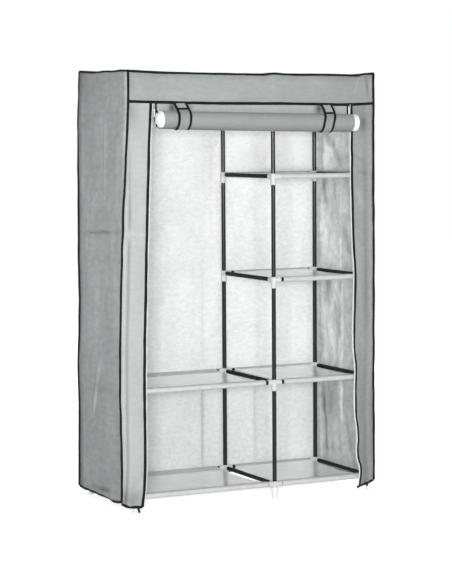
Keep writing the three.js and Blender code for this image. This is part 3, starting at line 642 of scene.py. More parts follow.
leftSide = {
    "name": "panel_left_side", "node": "cover_left_side", "looks": ["coverSide", "lining"],
    "grid": (250, 74), "flat": (0.462, 1.585), "held": "hung", "carrier": "pipe_back_left_top",
    "folds": [(222, 1014, -60, 1026, -7.0, 5), (225, 1028, -150, 1042, 2.4, 8),
              (225, 1000, -150, 1012, 2.0, 8), (-60, 1026, -170, 1030, -2.5, 5),
              (-8, 1480, 4, 1120, 2.2, 6), (10, 1480, 22, 1120, -1.4, 7), (41, 550, 108, 325, 3.4, 6),
              (28, 545, 94, 322, -2.4, 8), (110, 62, -60, 58, 2.4, 8), (150, 1180, 175, 860, 1.8, 7),
              (-90, 980, -60, 700, 1.8, 8), (120, 760, 170, 640, 1.8, 6), (-120, 300, -40, 210, 1.8, 7),
              (-140, 1560, -128, 1250, 2.0, 7), (60, 1180, 120, 1120, 1.5, 7)],
    # lines and spots: painted shade and painted light
    "lines": [(215, 1018, -60, 1028, -0.34, 5), (40, 1024, -160, 1031, -0.20, 5.5),
              (204, 1580, 210, 1100, 0.14, 6), (-9, 1450, -10, 1200, 0.06, 6),
              (-34, 1300, -30, 1000, -0.06, 8), (16, 560, 94, 325, 0.34, 6),
              (140, 56, -80, 67, -0.28, 9), (40, 62, -90, 67, -0.16, 10), (205, 380, 195, 60, 0.14, 12)],
    "spots": [(60, 440, 150, 26, -0.14), (150, 530, 45, 26, -0.10), (215, 1590, 40, 60, -0.12),
              (-60, 980, 90, 60, 0.05), (-100, 800, 70, 120, 0.05), (90, 640, 90, 60, 0.04)],
}


def leftSidePanel(panel):
    # between the two left corners; slack, puffed at its seams, pressed by the brace and creased
    u, v = panelGrid(panel)
    front = 1 - u
    low = rim("sideHem", front) + softNoise(u * 7, u * 0, 11) * 2.2
    high = cover["edge"] + rim("leftRim", front)
    z = low + (high - low) * v
    base = blendPoints(cornerBackLeft(z), cornerFrontLeft(z), u)
    y = base[..., 1]
    edge = np.minimum(np.minimum(u, front) * deep, np.minimum(high - z, z - low))
    fold = 5.5 * (1 - fade(u * deep / 24)) - 4
    fold = (fold + (2.0 + 5.0 * ramp((z - 1050) / 400)) * (1 - fade(front * deep / 20))) * ramp(edge / 6)
    fold += waves(y, z, [(4.2, 150, 260, 12)], ramp(edge / 60))
    fold += waves(y, z, [(1.5, 38, 75, 13)], ramp(edge / 25))
    fold += waves(y, z, [(1.2, 16, np.inf, 14)], fade((high - z) / 22))
    fold += waves(y, z, [(1.2, 22, np.inf, 15)], fade((z - low) / 26))
    fold += 0.8 * crumple(y, z, 16, 46) * ramp(edge / 30) + creases(y, z, panel["folds"])
    toBack, toFront = cover["back"] - y, y - base[:, -1:, 1]
    # painted shade and light: darker towards the top and the foot, a dark band along the back seam, a light
    # band beside the front seam, and darker and lighter streaks and patches
    shade = 0.02 - 0.13 * fade((high - z) / 150) - 0.14 * ramp((700 - z) / 450)
    shade -= 0.36 * bell(toBack / (34 + 14 * ramp((650 - z) / 400)))
    shade += 0.42 * bell((toFront - 12) / 8) * ramp((z - 1110) / 240)
    shade -= 0.16 * bell(toBack / 150) * ramp((z - 1150) / 250)
    shade += creases(y, z, panel["lines"]) + patches(y, z, panel["spots"])
    hungPanel(panel, base + gridNormals(base) * fold[..., None], outer=shade)


rightSide = {
    "name": "panel_right_side", "node": "cover_right_side", "looks": ["coverSide", "liningSideShaded"],
    "grid": (250, 74), "flat": (0.462, 1.585), "held": "hung", "carrier": "pipe_back_left_top",
    "folds": [(206, 1380, 60, 1235, 7.5, 9), (180, 1400, 40, 1270, -5.5, 10), (48, 900, 52, 160, 7.0, 10),
              (75, 905, 80, 200, -6.0, 10), (165, 1200, 120, 1120, -6, 11), (168, 805, 130, 700, -6.0, 11),
              (170, 410, 120, 300, -6.0, 11), (228, 1500, 232, 80, 4.0, 8), (120, 1100, 60, 960, 6.0, 8),
              (140, 640, 90, 520, 6.0, 9), (-60, 1250, -30, 700, 4.5, 10), (210, 1150, 150, 900, 5.0, 8),
              (200, 760, 160, 480, 4.5, 8), (20, 620, -30, 460, 5.0, 8)],
    # lines and spots: painted shade and painted light of the wrinkles inside
    "lines": [(248, 1400, 246, 1240, 0.16, 12), (203, 1400, 202, 1230, -0.34, 13),
              (187, 1400, 97, 1324, -0.42, 20), (97, 1324, 45, 1250, -0.30, 17),
              (203, 1200, 165, 1090, -0.34, 13), (108, 1200, 96, 1110, -0.22, 10),
              (56, 1210, 56, 1040, 0.16, 7), (56, 1000, 58, 850, 0.30, 7), (66, 1010, 66, 860, -0.10, 7),
              (42, 1020, -30, 905, -0.26, 22), (244, 800, 240, 620, 0.14, 14), (62, 805, 63, 745, -0.36, 7),
              (105, 720, 88, 600, -0.22, 9), (69, 740, 69, 560, -0.26, 7), (47, 720, 47, 400, 0.22, 8),
              (236, 385, 214, 60, 0.26, 11), (206, 375, 160, 70, -0.40, 10), (55, 385, 56, 240, 0.34, 8),
              (66, 385, 66, 90, -0.16, 9), (130, 240, 120, 90, -0.12, 10), (20, 260, -30, 120, -0.16, 20),
              (150, 640, 130, 520, 0.12, 14), (190, 560, 210, 480, -0.10, 12)],
    "spots": [(27, 1353, 28, 60, 0.14), (165, 1272, 32, 46, 0.12), (185, 1190, 24, 36, -0.30),
              (112, 1110, 58, 78, -0.16), (212, 1040, 30, 62, 0.14), (128, 1035, 26, 56, -0.10),
              (20, 1120, 24, 60, 0.10), (30, 1190, 40, 26, -0.16), (152, 775, 22, 56, -0.38),
              (90, 780, 13, 52, 0.14), (180, 660, 50, 46, 0.10), (213, 550, 20, 42, -0.12),
              (135, 320, 60, 80, -0.28), (20, 330, 30, 60, -0.14), (90, 130, 60, 60, -0.06),
              (150, 900, 60, 50, 0.06)],
}


def rightSidePanel(panel):
    # between the two right corners; slacker than the left one, with long slanting folds that show inside
    u, v = panelGrid(panel)
    low = rim("sideHem", u) + softNoise(u * 7, u * 0, 21) * 2.2
    high = cover["edge"] + rim("rightRim", u)
    z = low + (high - low) * v
    base = blendPoints(cornerFrontRight(z), cornerBackRight(z), u)
    y = base[..., 1]
    edge = np.minimum(np.minimum(u, 1 - u) * deep, np.minimum(high - z, z - low))
    slack = waves(y + 0.35 * z, z, [(5.5, 95, 330, 22)]) + 4.6 * crumple(y + 0.3 * z, z * 0.6, 23, 95)
    slack += 2.8 * crumple(y - 0.4 * z, z, 25, 44) + waves(y, z, [(1.1, 15, 26, 27)])
    fold = 5.5 * (1 - fade(edge / 30)) + slack * ramp(edge / 45) + creases(y, z, panel["folds"])
    # painted shade and light on the lining: lighter in the top bay, darker low down, and darker and lighter
    # streaks and patches for its wrinkles
    shade = 0.30 * ramp((z - 1225) / 30) + 0.08 * ramp((1225 - z) / 30) * ramp((z - 430) / 30)
    shade += 1.3 * creases(y, z, panel["lines"]) + 1.25 * patches(y, z, panel["spots"])
    hungPanel(panel, base + gridNormals(base) * np.maximum(fold * 0.5, -3.0)[..., None],
              inner=shade - 0.09 * ramp((850 - z) / 60))


back = {
    "name": "panel_back", "node": "cover_back", "looks": ["coverTop", "lining"],
    "grid": (200, 130), "flat": (1.05, 1.58), "held": "hung", "carrier": "pipe_back_left_top",
    "folds": [(12, 460, 13, 40, 2.6, 5), (30, 1330, 26, 1100, -1.8, 7), (60, 1400, 66, 900, 1.6, 7),
              (255, 1200, 250, 120, -2.0, 7), (-190, 1380, -182, 900, 1.3, 8), (430, 1400, 420, 500, 1.6, 8),
              (-320, 700, -300, 120, 1.5, 8), (-470, 1025, 520, 1022, -1.0, 7)],
    # lines and spots: painted shade and painted light
    "lines": [(14, 430, 12, 40, -0.34, 5), (16, 960, 15, 430, -0.09, 6), (246, 430, 246, 40, -0.16, 6),
              (30, 1400, 22, 1150, -0.05, 9), (60, 1400, 58, 1120, -0.05, 5), (262, 1400, 262, 700, 0.04, 6),
              (-22, 900, -22, 700, -0.05, 5), (415, 1200, 420, 800, -0.04, 20)],
    "spots": [(-10, 1360, 80, 110, -0.06)],
}


def backPanel(panel):
    # between the two back corners, from right to left; nearly flat with long upright waves
    u, v = panelGrid(panel)
    low = cover["backHem"] + softNoise(u * 15, u * 0, 31) * 2.0
    high = cover["edge"] + rim("backRim", 1 - u)
    z = low + (high - low) * v
    base = blendPoints(cornerBackRight(z), cornerBackLeft(z), u)
    x = base[..., 0]
    edge = np.minimum(np.minimum(u, 1 - u) * wide, np.minimum(high - z, z - low))
    slack = waves(x, z, [(2.6, 120, 420, 32), (0.45, 24, 34, 35)]) + 0.9 * crumple(x, z * 0.5, 33, 80)
    fold = 3.0 * (1 - fade(edge / 20)) + slack * ramp(edge / 50) + creases(x, z, panel["folds"])
    # painted shade and light on the lining: lighter at the top of the right bay under the roll, darker in
    # the bottom bay, in the left bay and at a spot near the middle, and darker and lighter streaks along
    # creases
    aboveLow = ramp((z - 430) / 60)
    shade = -0.12 * ramp((440 - z) / 120) * (1 - 0.35 * ramp((x - 240) / 12))
    shade += creases(x, z, panel["lines"]) + patches(x, z, panel["spots"])
    shade += 0.12 * ramp((z - 1180) / 90) * ramp((x - 70) / 30)
    shade += (-0.015 - 0.05 * ramp((1000 - z) / 200)) * aboveLow * ramp((-60 - x) / 80)
    shade -= 0.07 * ramp((440 - z) / 60) * ramp((80 - x) / 60)
    shade -= 0.05 * ramp((60 - x) / 60) * aboveLow * ramp((1300 - z) / 200)
    hungPanel(panel, base + gridNormals(base) * np.maximum(fold, -4.0)[..., None], inner=shade)


top = {
    "name": "panel_top", "node": "cover_top", "looks": ["coverTop", "lining"],
    "grid": (70, 150), "flat": (1.03, 0.465), "held": "stretched", "carrier": "pipe_back_left_top",
    "over": 0.9, "lift": 3.7, "sag": {"front": 6.0, "behind": 5.0, "right": 9.0},
    "folds": [(-440, 20, 80, 34, 1.2, 8), (-380, -130, -180, 10, 1.3, 7), (160, -120, 330, 40, 1.4, 8),
              (460, 190, 330, 60, 1.3, 8), (-60, 210, -220, 60, 1.2, 7)],
}


def topPanel(panel):
    # edge heights blended across from the four rims, a crown inside them and a slight sag between the tubes
    u, v = panelGrid(panel)
    ends = [cover[key][1][at] for key in ("frontRim", "backRim") for at in (0, -1)]
    corners = (ends[0] * (1 - u) + ends[1] * u) * (1 - v) + (ends[2] * (1 - u) + ends[3] * u) * v
    lift = (1 - v) * rim("frontRim", u) + v * rim("backRim", u) - corners
    lift = lift + (1 - u) * rim("leftRim", v) + u * rim("rightRim", v)
    x, y = cover["left"] + wide * u, cover["front"] + deep * v
    edge = np.minimum(np.minimum(u, 1 - u) * wide, np.minimum(v, 1 - v) * deep)
    cellsX = [poles[k] for k in ("left", "centre", "right")]
    cellsY = [poles[k] for k in ("front", "railY", "back")]
    posts = 0.0 * x
    for a, b in [(a, b) for a in cellsX for b in cellsY]:
        for longX, longY in ((40, 15), (15, 40)):
            posts = np.maximum(posts, bell((x - a) / longX, 8) * bell((y - b) / longY, 4))
    over = poles["levels"]["top"] + poles["tube"] + panel["over"] + panel["lift"] * posts
    crown = np.maximum(over - cover["edge"] - lift, 1.0)
    z = cover["edge"] + lift + crown * np.sin(np.clip(edge / 9, 0, 1) * np.pi / 2)
    for atX, fromY, toY, sag in ((0, 0, 1, "front"), (0, 1, 2, "behind"), (1, 0, 2, "right")):
        s = np.clip((x - cellsX[atX]) / (cellsX[atX + 1] - cellsX[atX]), 0, 1)
        t = np.clip((y - cellsY[fromY]) / (cellsY[toY] - cellsY[fromY]), 0, 1)
        z = z - panel["sag"][sag] * (np.sin(np.pi * s) * np.sin(np.pi * t)) ** 0.8
    loose = waves(x, y, [(1.2, 90, 60, 41)]) + 0.7 * crumple(x, y, 42, 70) + creases(x, y, panel["folds"])
    z = z + loose * ramp((edge - 22) / 40) + waves(x, y, [(0.6, 20, 20, 44)], fade(edge / 25))
    hungPanel(panel, triple(x, y, z))


header = {
    "name": "header_front", "node": "cover_header", "looks": ["coverHeader", "lining"],
    "grid": (30, 240), "flat": (1.03, 0.108), "held": "hung", "carrier": "pipe_front_left_top",
    "folds": [(462, 1600, 440, 1530, -3.0, 7), (489, 1606, 500, 1525, 3.0, 7), (95, 1600, 100, 1550, 2.2, 6),
              (60, 1598, 50, 1560, -1.6, 6), (-300, 1596, -330, 1540, 1.2, 8),
              (506, 1520, 505, 1600, -2.0, 6)],
    # lines: painted shade and painted light
    "lines": [(-486, 1600, -488, 1520, -0.12, 12), (462, 1600, 440, 1530, 0.10, 8),
              (489, 1606, 500, 1525, -0.18, 8), (95, 1600, 100, 1550, 0.08, 7),
              (520, 1600, 519, 1510, 0.16, 5), (-380, 1590, -300, 1575, 0.06, 10),
              (240, 1580, 330, 1570, 0.06, 12)],
}


def headerPanel(panel):
    # from the front left corner to the right one; small puckers hang from the top seam
    u, v = panelGrid(panel)
    x = cover["left"] + wide * u
    low, high = headerLine(x), cover["edge"] + rim("frontRim", u)
    z = low + (high - low) * v
    base = blendPoints(cornerFrontLeft(z), cornerFrontRight(z), u)
    edge = np.minimum(np.minimum(u, 1 - u) * wide, high - z)
    fold = 2.0 * (1 - fade(edge / 18)) + 1.8 * bell((z - low - 12) / 8) + waves(x, z, [(1.6, 120, 90, 51)])
    fold += waves(x, z, [(1.0, 15, 300, 52)], fade((high - z) / 16))
    fold += waves(x, z, [(0.7, 19, 300, 53)], fade((z - low) / 14))
    fold += waves(x, z, [(0.5, 34, 26, 54)]) + creases(x, z, panel["folds"])
    # painted shade and light: darker along the top seam, a little darker at the left end and more towards
    # the right, a lighter band above the lower edge on the left, and lighter and darker streaks
    shade = -0.24 * bell((high - z) / 17) * (0.7 + waves(x, z, [(0.3, 60, np.inf, 55)]))
    shade -= 0.05 * ramp((-250 - x) / 150) + 0.12 * ramp((x - 150) / 330)
    shade += 0.06 * bell((z - low - 26) / 22) * ramp((60 - x) / 300) + creases(x, z, panel["lines"])
    hungPanel(panel, base + np.array([0, -1.0, 0]) * fold[..., None], outer=shade)


stripLeft = {
    "name": "strip_front_left", "node": "strip_left", "looks": ["coverStripLeft", "lining"],
    "grid": (330, 30), "flat": (0.094, 1.475), "held": "hung", "carrier": "pipe_front_left_top",
    "soft": 5.0, "brace": 1012,
    "folds": [(-500, 1038, -425, 1020, 1.8, 6), (-500, 1022, -425, 1002, -1.6, 8),
              (-470, 1440, -440, 1300, 1.0, 7), (-480, 700, -450, 560, 1.2, 7),
              (-500, 250, -455, 210, 1.2, 8), (-497, 1480, -497, 1120, 1.0, 5)],
    # lines and spots: painted shade and painted light
    "lines": [(-486, 80, -440, 130, 0.10, 7), (-500, 1034, -430, 1020, 0.08, 8)],
    "spots": [(-484, 1470, 26, 70, -0.24), (-500, 55, 34, 30, -0.26), (-490, 1250, 14, 120, -0.10),
              (-450, 1100, 30, 60, 0.05), (-455, 70, 10, 30, 0.10), (-440, 1420, 60, 110, -0.06)],
}


def stripLeftPanel(panel):
    # flat from the opening's edge to the fold, then turned back to the corner; the fold itself is pinched in
    u, v = panelGrid(panel)
    low = rim("leftHem", u) + softNoise(u * 5, u * 0, 61) * 1.5
    high = headerLine(cover["left"] + (cover["leftEdge"] - cover["left"]) * u)
    z = low + (high - low) * v
    corner, edge = cornerFrontLeft(z), openingLeft(z)
    cornerX, edgeX, soft = corner[..., 0], edge[..., 0], panel["soft"]
    x = cornerX + (edgeX - cornerX) * u
    foldX = edgeX - cover["fold"]
    slope = (corner[..., 1] - cover["front"]) / np.maximum(foldX - cornerX, 10)
    y = cover["front"] + slope * soft * np.log1p(np.exp(np.clip((foldX - x) / soft, -30, 30)))
    y -= 1.8 * (1 - fade(np.minimum(x - cornerX, edgeX - x) / 10))
    pressedIn = 1 - 0.85 * bell((z - panel["brace"]) / 24)
    y += 5.5 * bell((x - foldX - 2) / 6) * ramp((1360 - z) / 120) * pressedIn
    y += 4.0 * bell((x - cornerX - 12) / 12) * ramp((z - 1180) / 160)
    y -= waves(x, z, [(1.5, 60, 210, 62), (0.5, 18, 30, 63)]) + creases(x, z, panel["folds"])
    y += waves(x, z, [(1.2, 13, np.inf, 64)], fade((z - low) / 24))
    # painted shade and light: a dark band down the fold, lifted where the brace presses it, darker at the
    # foot, a lighter facet beside the fold, and darker and lighter spots and streaks
    band = bell((x - foldX - 1) / 5.5) * ramp((1200 - z) / 110)
    shade = -0.34 * band * (1 - 0.95 * bell((z - panel["brace"] - 10) / 26)) - 0.12 * ramp((190 - z) / 130)
    shade += 0.05 * ramp((foldX - 6 - x) / 6) * ramp((1250 - z) / 200)
    shade = shade + patches(x, z, panel["spots"]) + creases(x, z, panel["lines"])
    hungPanel(panel, triple(x, y, z), outer=shade)


stripRight = {
    "name": "strip_front_right", "node": "strip_right", "looks": ["coverStripRight", "lining"],
    "grid": (330, 30), "flat": (0.106, 1.475), "held": "hung", "carrier": "pipe_back_left_top",
    "folds": [(440, 1312, 480, 1290, -3.5, 9), (445, 1285, 490, 1262, 2.4, 9), (450, 980, 500, 930, 2.0, 8),
              (455, 620, 505, 560, 1.8, 8), (470, 260, 515, 200, 2.2, 9)],
    # lines and spots: painted shade and painted light
    "lines": [(496, 1400, 500, 430, -0.20, 11), (518, 1480, 518, 500, 0.10, 5),
              (455, 1236, 508, 1228, -0.20, 7),
              (452, 1172, 490, 1092, 0.20, 15), (452, 1000, 480, 560, 0.08, 14),
              (482, 700, 486, 480, 0.10, 6),
              (520, 430, 516, 90, -0.16, 14), (470, 300, 460, 120, 0.06, 10)],
    "spots": [(486, 1420, 16, 30, -0.34), (450, 1300, 22, 60, 0.05), (500, 780, 16, 90, -0.05)],
}


def stripRightPanel(panel):
    # from the curling edge of the opening to the right corner, hollowed beside the corner
    u, v = panelGrid(panel)
    low = rim("rightHem", u) + softNoise(u * 5, u * 0, 71) * 1.5
    high = headerLine(cover["rightEdge"] + (cover["right"] - cover["rightEdge"]) * u)
    z = low + (high - low) * v
    edge = openingRight(z)
    x = blendPoints(edge, cornerFrontRight(z), u)[..., 0]
    y = cover["front"] + (edge[..., 1] - cover["front"]) * (1 - ramp(u * 1.25)) ** 1.2
    y += 3.4 * bell((u - 0.66) / 0.13) - 2.6 * bell((u - 0.86) / 0.09)
    y -= waves(x, z, [(1.6, 60, 190, 72), (0.7, 18, 34, 73)]) + 0.6 * crumple(x, z, 74, 60)
    # painted shade and light: darker low down and at the top, and darker and lighter streaks and spots
    shade = -0.08 * ramp((640 - z) / 260) - 0.05 * ramp((260 - z) / 180) - 0.13 * ramp((z - 1330) / 100)
    shade += creases(x, z, panel["lines"]) + patches(x, z, panel["spots"])
    hungPanel(panel, triple(x, y - creases(x, z, panel["folds"]), z), outer=shade)


for make, panel in ((leftSidePanel, leftSide), (rightSidePanel, rightSide), (backPanel, back),
                    (topPanel, top), (headerPanel, header), (stripLeftPanel, stripLeft),
                    (stripRightPanel, stripRight)):
    make(panel)
print("cover panels made")


# frame: tubes, connectors, feet and the hanging rail

fitting = {"radius": 10.5, "lip": 11.1, "lipTall": 4.0, "arm": 28.0, "drop": 32.0, "rise": 10.5, "bore": 8.3,
           "round": 0.8, "foot": 9.75, "collar": 13.5, "stop": 11.0, "floor": 12.0, "web": 2.0, "past": 2.0,
           "clear": 0.2, "armClear": 11.3}
heightOf = poles["levels"]
leftJoints = ["bottom", "low", "brace", "top"]
allJoints = ["bottom", "low", "middle", "high", "top"]
columns = (("left", leftJoints), ("centre", allJoints), ("right", allJoints))


def pipe(name, start, facing, length, node, slot="tube"):
    # a thin tube as a closed ring profile: outside, rounded end, inside, rounded end
    outer, inner, bevel, half = poles["tube"], poles["tube"] - poles["wall"], poles["bevel"], length / 2
    profile = [(outer - bevel, 0), (outer, bevel), (outer, half), (outer, length - bevel),
               (outer - bevel, length), (inner, length), (inner, half), (inner, 0)]
    part = turned(profile, start, facing, poles["sides"], ring=True)
    part["finish"] = np.where(np.arange(len(part["quads"])) // poles["sides"] >= 5, 1, 0)
    # the tubes that run front to back take the darker copy of the coat: painted shade
    coat = "tubeCoatShaded" if facing == "+y" else "tubeCoat"
    addPiece(name, [part], [coat, "tubeInside"], "frame", slot, [node], crease=40)


def roundedRod(radius, low, high, lipLow=False, lipHigh=False):
    # the half outline of a rod with rounded ends and, where asked, a raised lip at an end
    lip, soft, tall = fitting["lip"], fitting["round"], fitting["lipTall"]
    points = []
    for at, sign, has in ((low, 1, lipLow), (high, -1, lipHigh)):
        end = lip if has else radius
        some = [(end - soft, at), (end - soft * 0.3, at + sign * soft * 0.3), (end, at + sign * soft)]
        if has:
            some += [(lip, at + sign * (tall - soft)), (radius, at + sign * tall)]
        points += some[::sign]
    return points


def connectorMesh(arms, kind):
    # upright sleeve and arms joined into one solid, then bored where each tube goes in
    f, origin = fitting, (0, 0, 0)
    low = -f["floor"] if kind == "bottom" else -f["drop"]
    sleeve = turned(roundedRod(f["radius"], low, f["rise"], lipLow=kind != "bottom"), origin)
    rods = [turned(roundedRod(f["radius"], 0, f["arm"], lipHigh=True), origin, arm) for arm in arms]
    bores = [(arm, f["stop"], f["arm"] + f["past"]) for arm in arms]
    if kind != "bottom":
        bores.append(("+z", low - f["past"], -f["floor"]))
    if kind != "top":
        bores.append(("+z", f["web"], f["rise"] + f["past"]))
    bores = [turned([(f["bore"], start), (f["bore"], stop)], origin, facing)
             for facing, start, stop in bores]

    def loose(part):
        mesh = bpy.data.meshes.new("loose")
        mesh.from_pydata(part["points"], [], part["quads"].tolist() + part["caps"])
        return placed("loose", mesh)
    pieces = [loose(part) for part in [sleeve] + rods + bores]
    for number, other in enumerate(pieces[1:]):
        step = pieces[0].modifiers.new("join", "BOOLEAN")
        step.operation = "UNION" if number < len(rods) else "DIFFERENCE"
        step.solver, step.object = "EXACT", other
    bpy.context.view_layer.update()
    solid = bpy.data.meshes.new_from_object(pieces[0].evaluated_get(bpy.context.evaluated_depsgraph_get()))
    points = np.zeros(len(solid.vertices) * 3)
    solid.vertices.foreach_get("co", points)
    faces = [list(face.vertices) for face in solid.polygons]
    for piece in pieces:
        bpy.data.objects.remove(piece)
    return points.reshape(-1, 3), faces


connectorShapes = {}


def connector(name, place, arms, kind, node):
    # connectors with the same arms share one worked-out shape, moved to each place
    key = (tuple(arms), kind)
    if key not in connectorShapes:
        connectorShapes[key] = connectorMesh(arms, kind)
    points, faces = connectorShapes[key]
    part = shell(points + np.array(place), np.zeros((0, 4), int), caps=faces)
    addPiece(name, [part], ["connector"], "frame", "tube_and_connector", [node], crease=32)


def foot(name, x, y, node):
    # a leg with a rounded tip, widening into the collar under the bottom connector
    leg, collar = fitting["foot"], fitting["collar"]
    profile = [(leg - 1.6, 0), (leg - 0.5, 0.5), (leg, 1.8), (leg, 25), (leg + 0.3, 27),
               (collar - 0.5, 33.4), (collar, 35), (collar, 43.6), (collar - 0.5, 44.6), (collar - 1.4, 45)]
    rib = [(leg - 0.2, 19), (leg + 0.5, 19.4), (leg + 0.5, 20.8), (leg - 0.2, 21.2)]
    addPiece(name, [turned(part, (x, y, 0)) for part in (profile, rib)], ["footPlastic"], "frame",
             "tube_and_connector", [node], crease=35)


for side, inward in (("front", "+y"), ("back", "-y")):
    y = poles[side]
    for column, joints in columns:
        x, node = poles[column], f"post_{side}_{column}"
        foot(f"foot_{side}_{column}", x, y, node)
        for below, joint in zip([None] + joints, joints):
            arms = [inward]
            if column != "right" and joint != "brace":
                arms.append("+x")
            if column == "right" or (column == "centre" and joint in leftJoints):
                arms.append("-x")
            kind = joint if joint in ("bottom", "top") else "middle"
            connector(f"connector_{side}_{column}_{joint}", (x, y, heightOf[joint]), arms, kind, node)
            if below:
                start = heightOf[below] + fitting["web"] + fitting["clear"]
                stop = heightOf[joint] - fitting["floor"] - fitting["clear"]
                pipe(f"upright_{side}_{column}_{below}", (x, y, start), "+z", stop - start, node,
                     "tube_and_connector")
    for bay, first, last, joints in (("left", "left", "centre", ["bottom", "low", "top"]),
                                     ("right", "centre", "right", allJoints)):
        for joint in joints:
            pipe(f"pipe_{side}_{bay}_{joint}",
                 (poles[first] + fitting["armClear"], y, heightOf[joint]), "+x",
                 poles[last] - poles[first] - 2 * fitting["armClear"], f"tube_{side}_{bay}_{joint}")
for column, joints in columns:
    for joint in joints:
        pipe(f"pipe_depth_{column}_{joint}",
             (poles[column], poles["front"] + fitting["armClear"], heightOf[joint]), "+y",
             poles["back"] - poles["front"] - 2 * fitting["armClear"], f"tube_depth_{column}_{joint}")


def rail():
    # the rod between two tees that slide over the top tubes
    z, y, bore, out, rod = heightOf["top"], poles["railY"], fitting["bore"], fitting["radius"], 11.5
    pipe("rail_rod", (poles["left"] + rod, y, z), "+x", poles["centre"] - poles["left"] - 2 * rod,
         "hanging_rail")
    tee = [(bore, -17), (out - 0.4, -17), (out, -16.4), (out, 0), (out, 16.4), (out - 0.4, 17), (bore, 17),
           (bore, 0)]
    arm = [(bore, 9.2), (out - 0.2, 9.2), (out, 10), (out, 24), (11.1, 24.8), (11.1, 27.4), (10.6, 28),
           (bore, 28)]
    for name, facing in (("left", "+x"), ("centre", "-x")):
        parts = [turned(tee, (poles[name], y, z), "+y", ring=True),
                 turned(arm, (poles[name], y, z), facing, ring=True)]
        addPiece(f"rail_tee_{name}", parts, ["connector"], "frame", "tube", ["hanging_rail"], crease=35)


rail()
print("frame made")


# cloth shelves, in millimetres

shelf = {
    "inset": 39.5, "over": 8.9, "tail": 24.0, "thick": 0.8, "sag": 12.0, "across": 90, "stitch": 5.0,
    "seams": (15.5, 18.5), "thread": (3.6, 0.7, 0.6), "hem": (1.9, 7.0, 10, 4), "frontSleeve": 13,
    # how far from the back the darker sleeve finish reaches, further than the sewn sleeve and wider in the
    # left bay: painted shade along the shelves' back edges
    "backSleeve": {"left": 56.0, "right": 36.0},
    # where the front corners lie closer to the posts, where the back right ones stay open, and where the
    # left edge reaches further out
    "close": {("left", "bottom"): (37.0, 30.5), ("right", "bottom"): (30.5, 37.0),
              ("right", "high"): (28.5, 37.0)},
    "open": {("right", "middle"): 10.0, ("right", "high"): 12.0, ("left", "low"): 8.0,
             ("left", "bottom"): 6.0},
    "reach": {("right", "bottom"): 17.0},
    # painted light and shade of the front sleeve and of the flat, by level: lighter lower down
    "front": {"bottom": 0.05, "low": 0.03, "middle": 0.0, "high": -0.02},
    "flat": {"bottom": 0.05, "low": 0.05, "middle": 0.03, "high": 0.0},
    "order": [("left", "bottom"), ("left", "low"), ("right", "bottom"), ("right", "low"),
              ("right", "middle"), ("right", "high")],
    "firstSeed": 100, "seedStep": 5,
}


def shelfPath(y0, y1):
    # under the front tube, round it, flat to the back tube, round that and under again
    r, tail = shelf["over"], y0 + shelf["tail"]
    turn = np.linspace(math.radians(-62), math.radians(-270), 22)
    hook = np.stack([y0 + r * np.cos(turn), r * np.sin(turn)], -1)
    under = np.array([[tail, r - 1.9], [tail - 5, r - 1.9], [y0 + 15.5, r - 2.1], [y0 + 11, r - 5.6]])
    flat = np.stack([np.linspace(y0 + 4, y1 - 4, 60), np.full(60, r)], -1)
    first = np.concatenate([under, hook])
    return np.concatenate([first, flat, first[::-1] * [-1, 1] + [y0 + y1, 0]]), len(first)


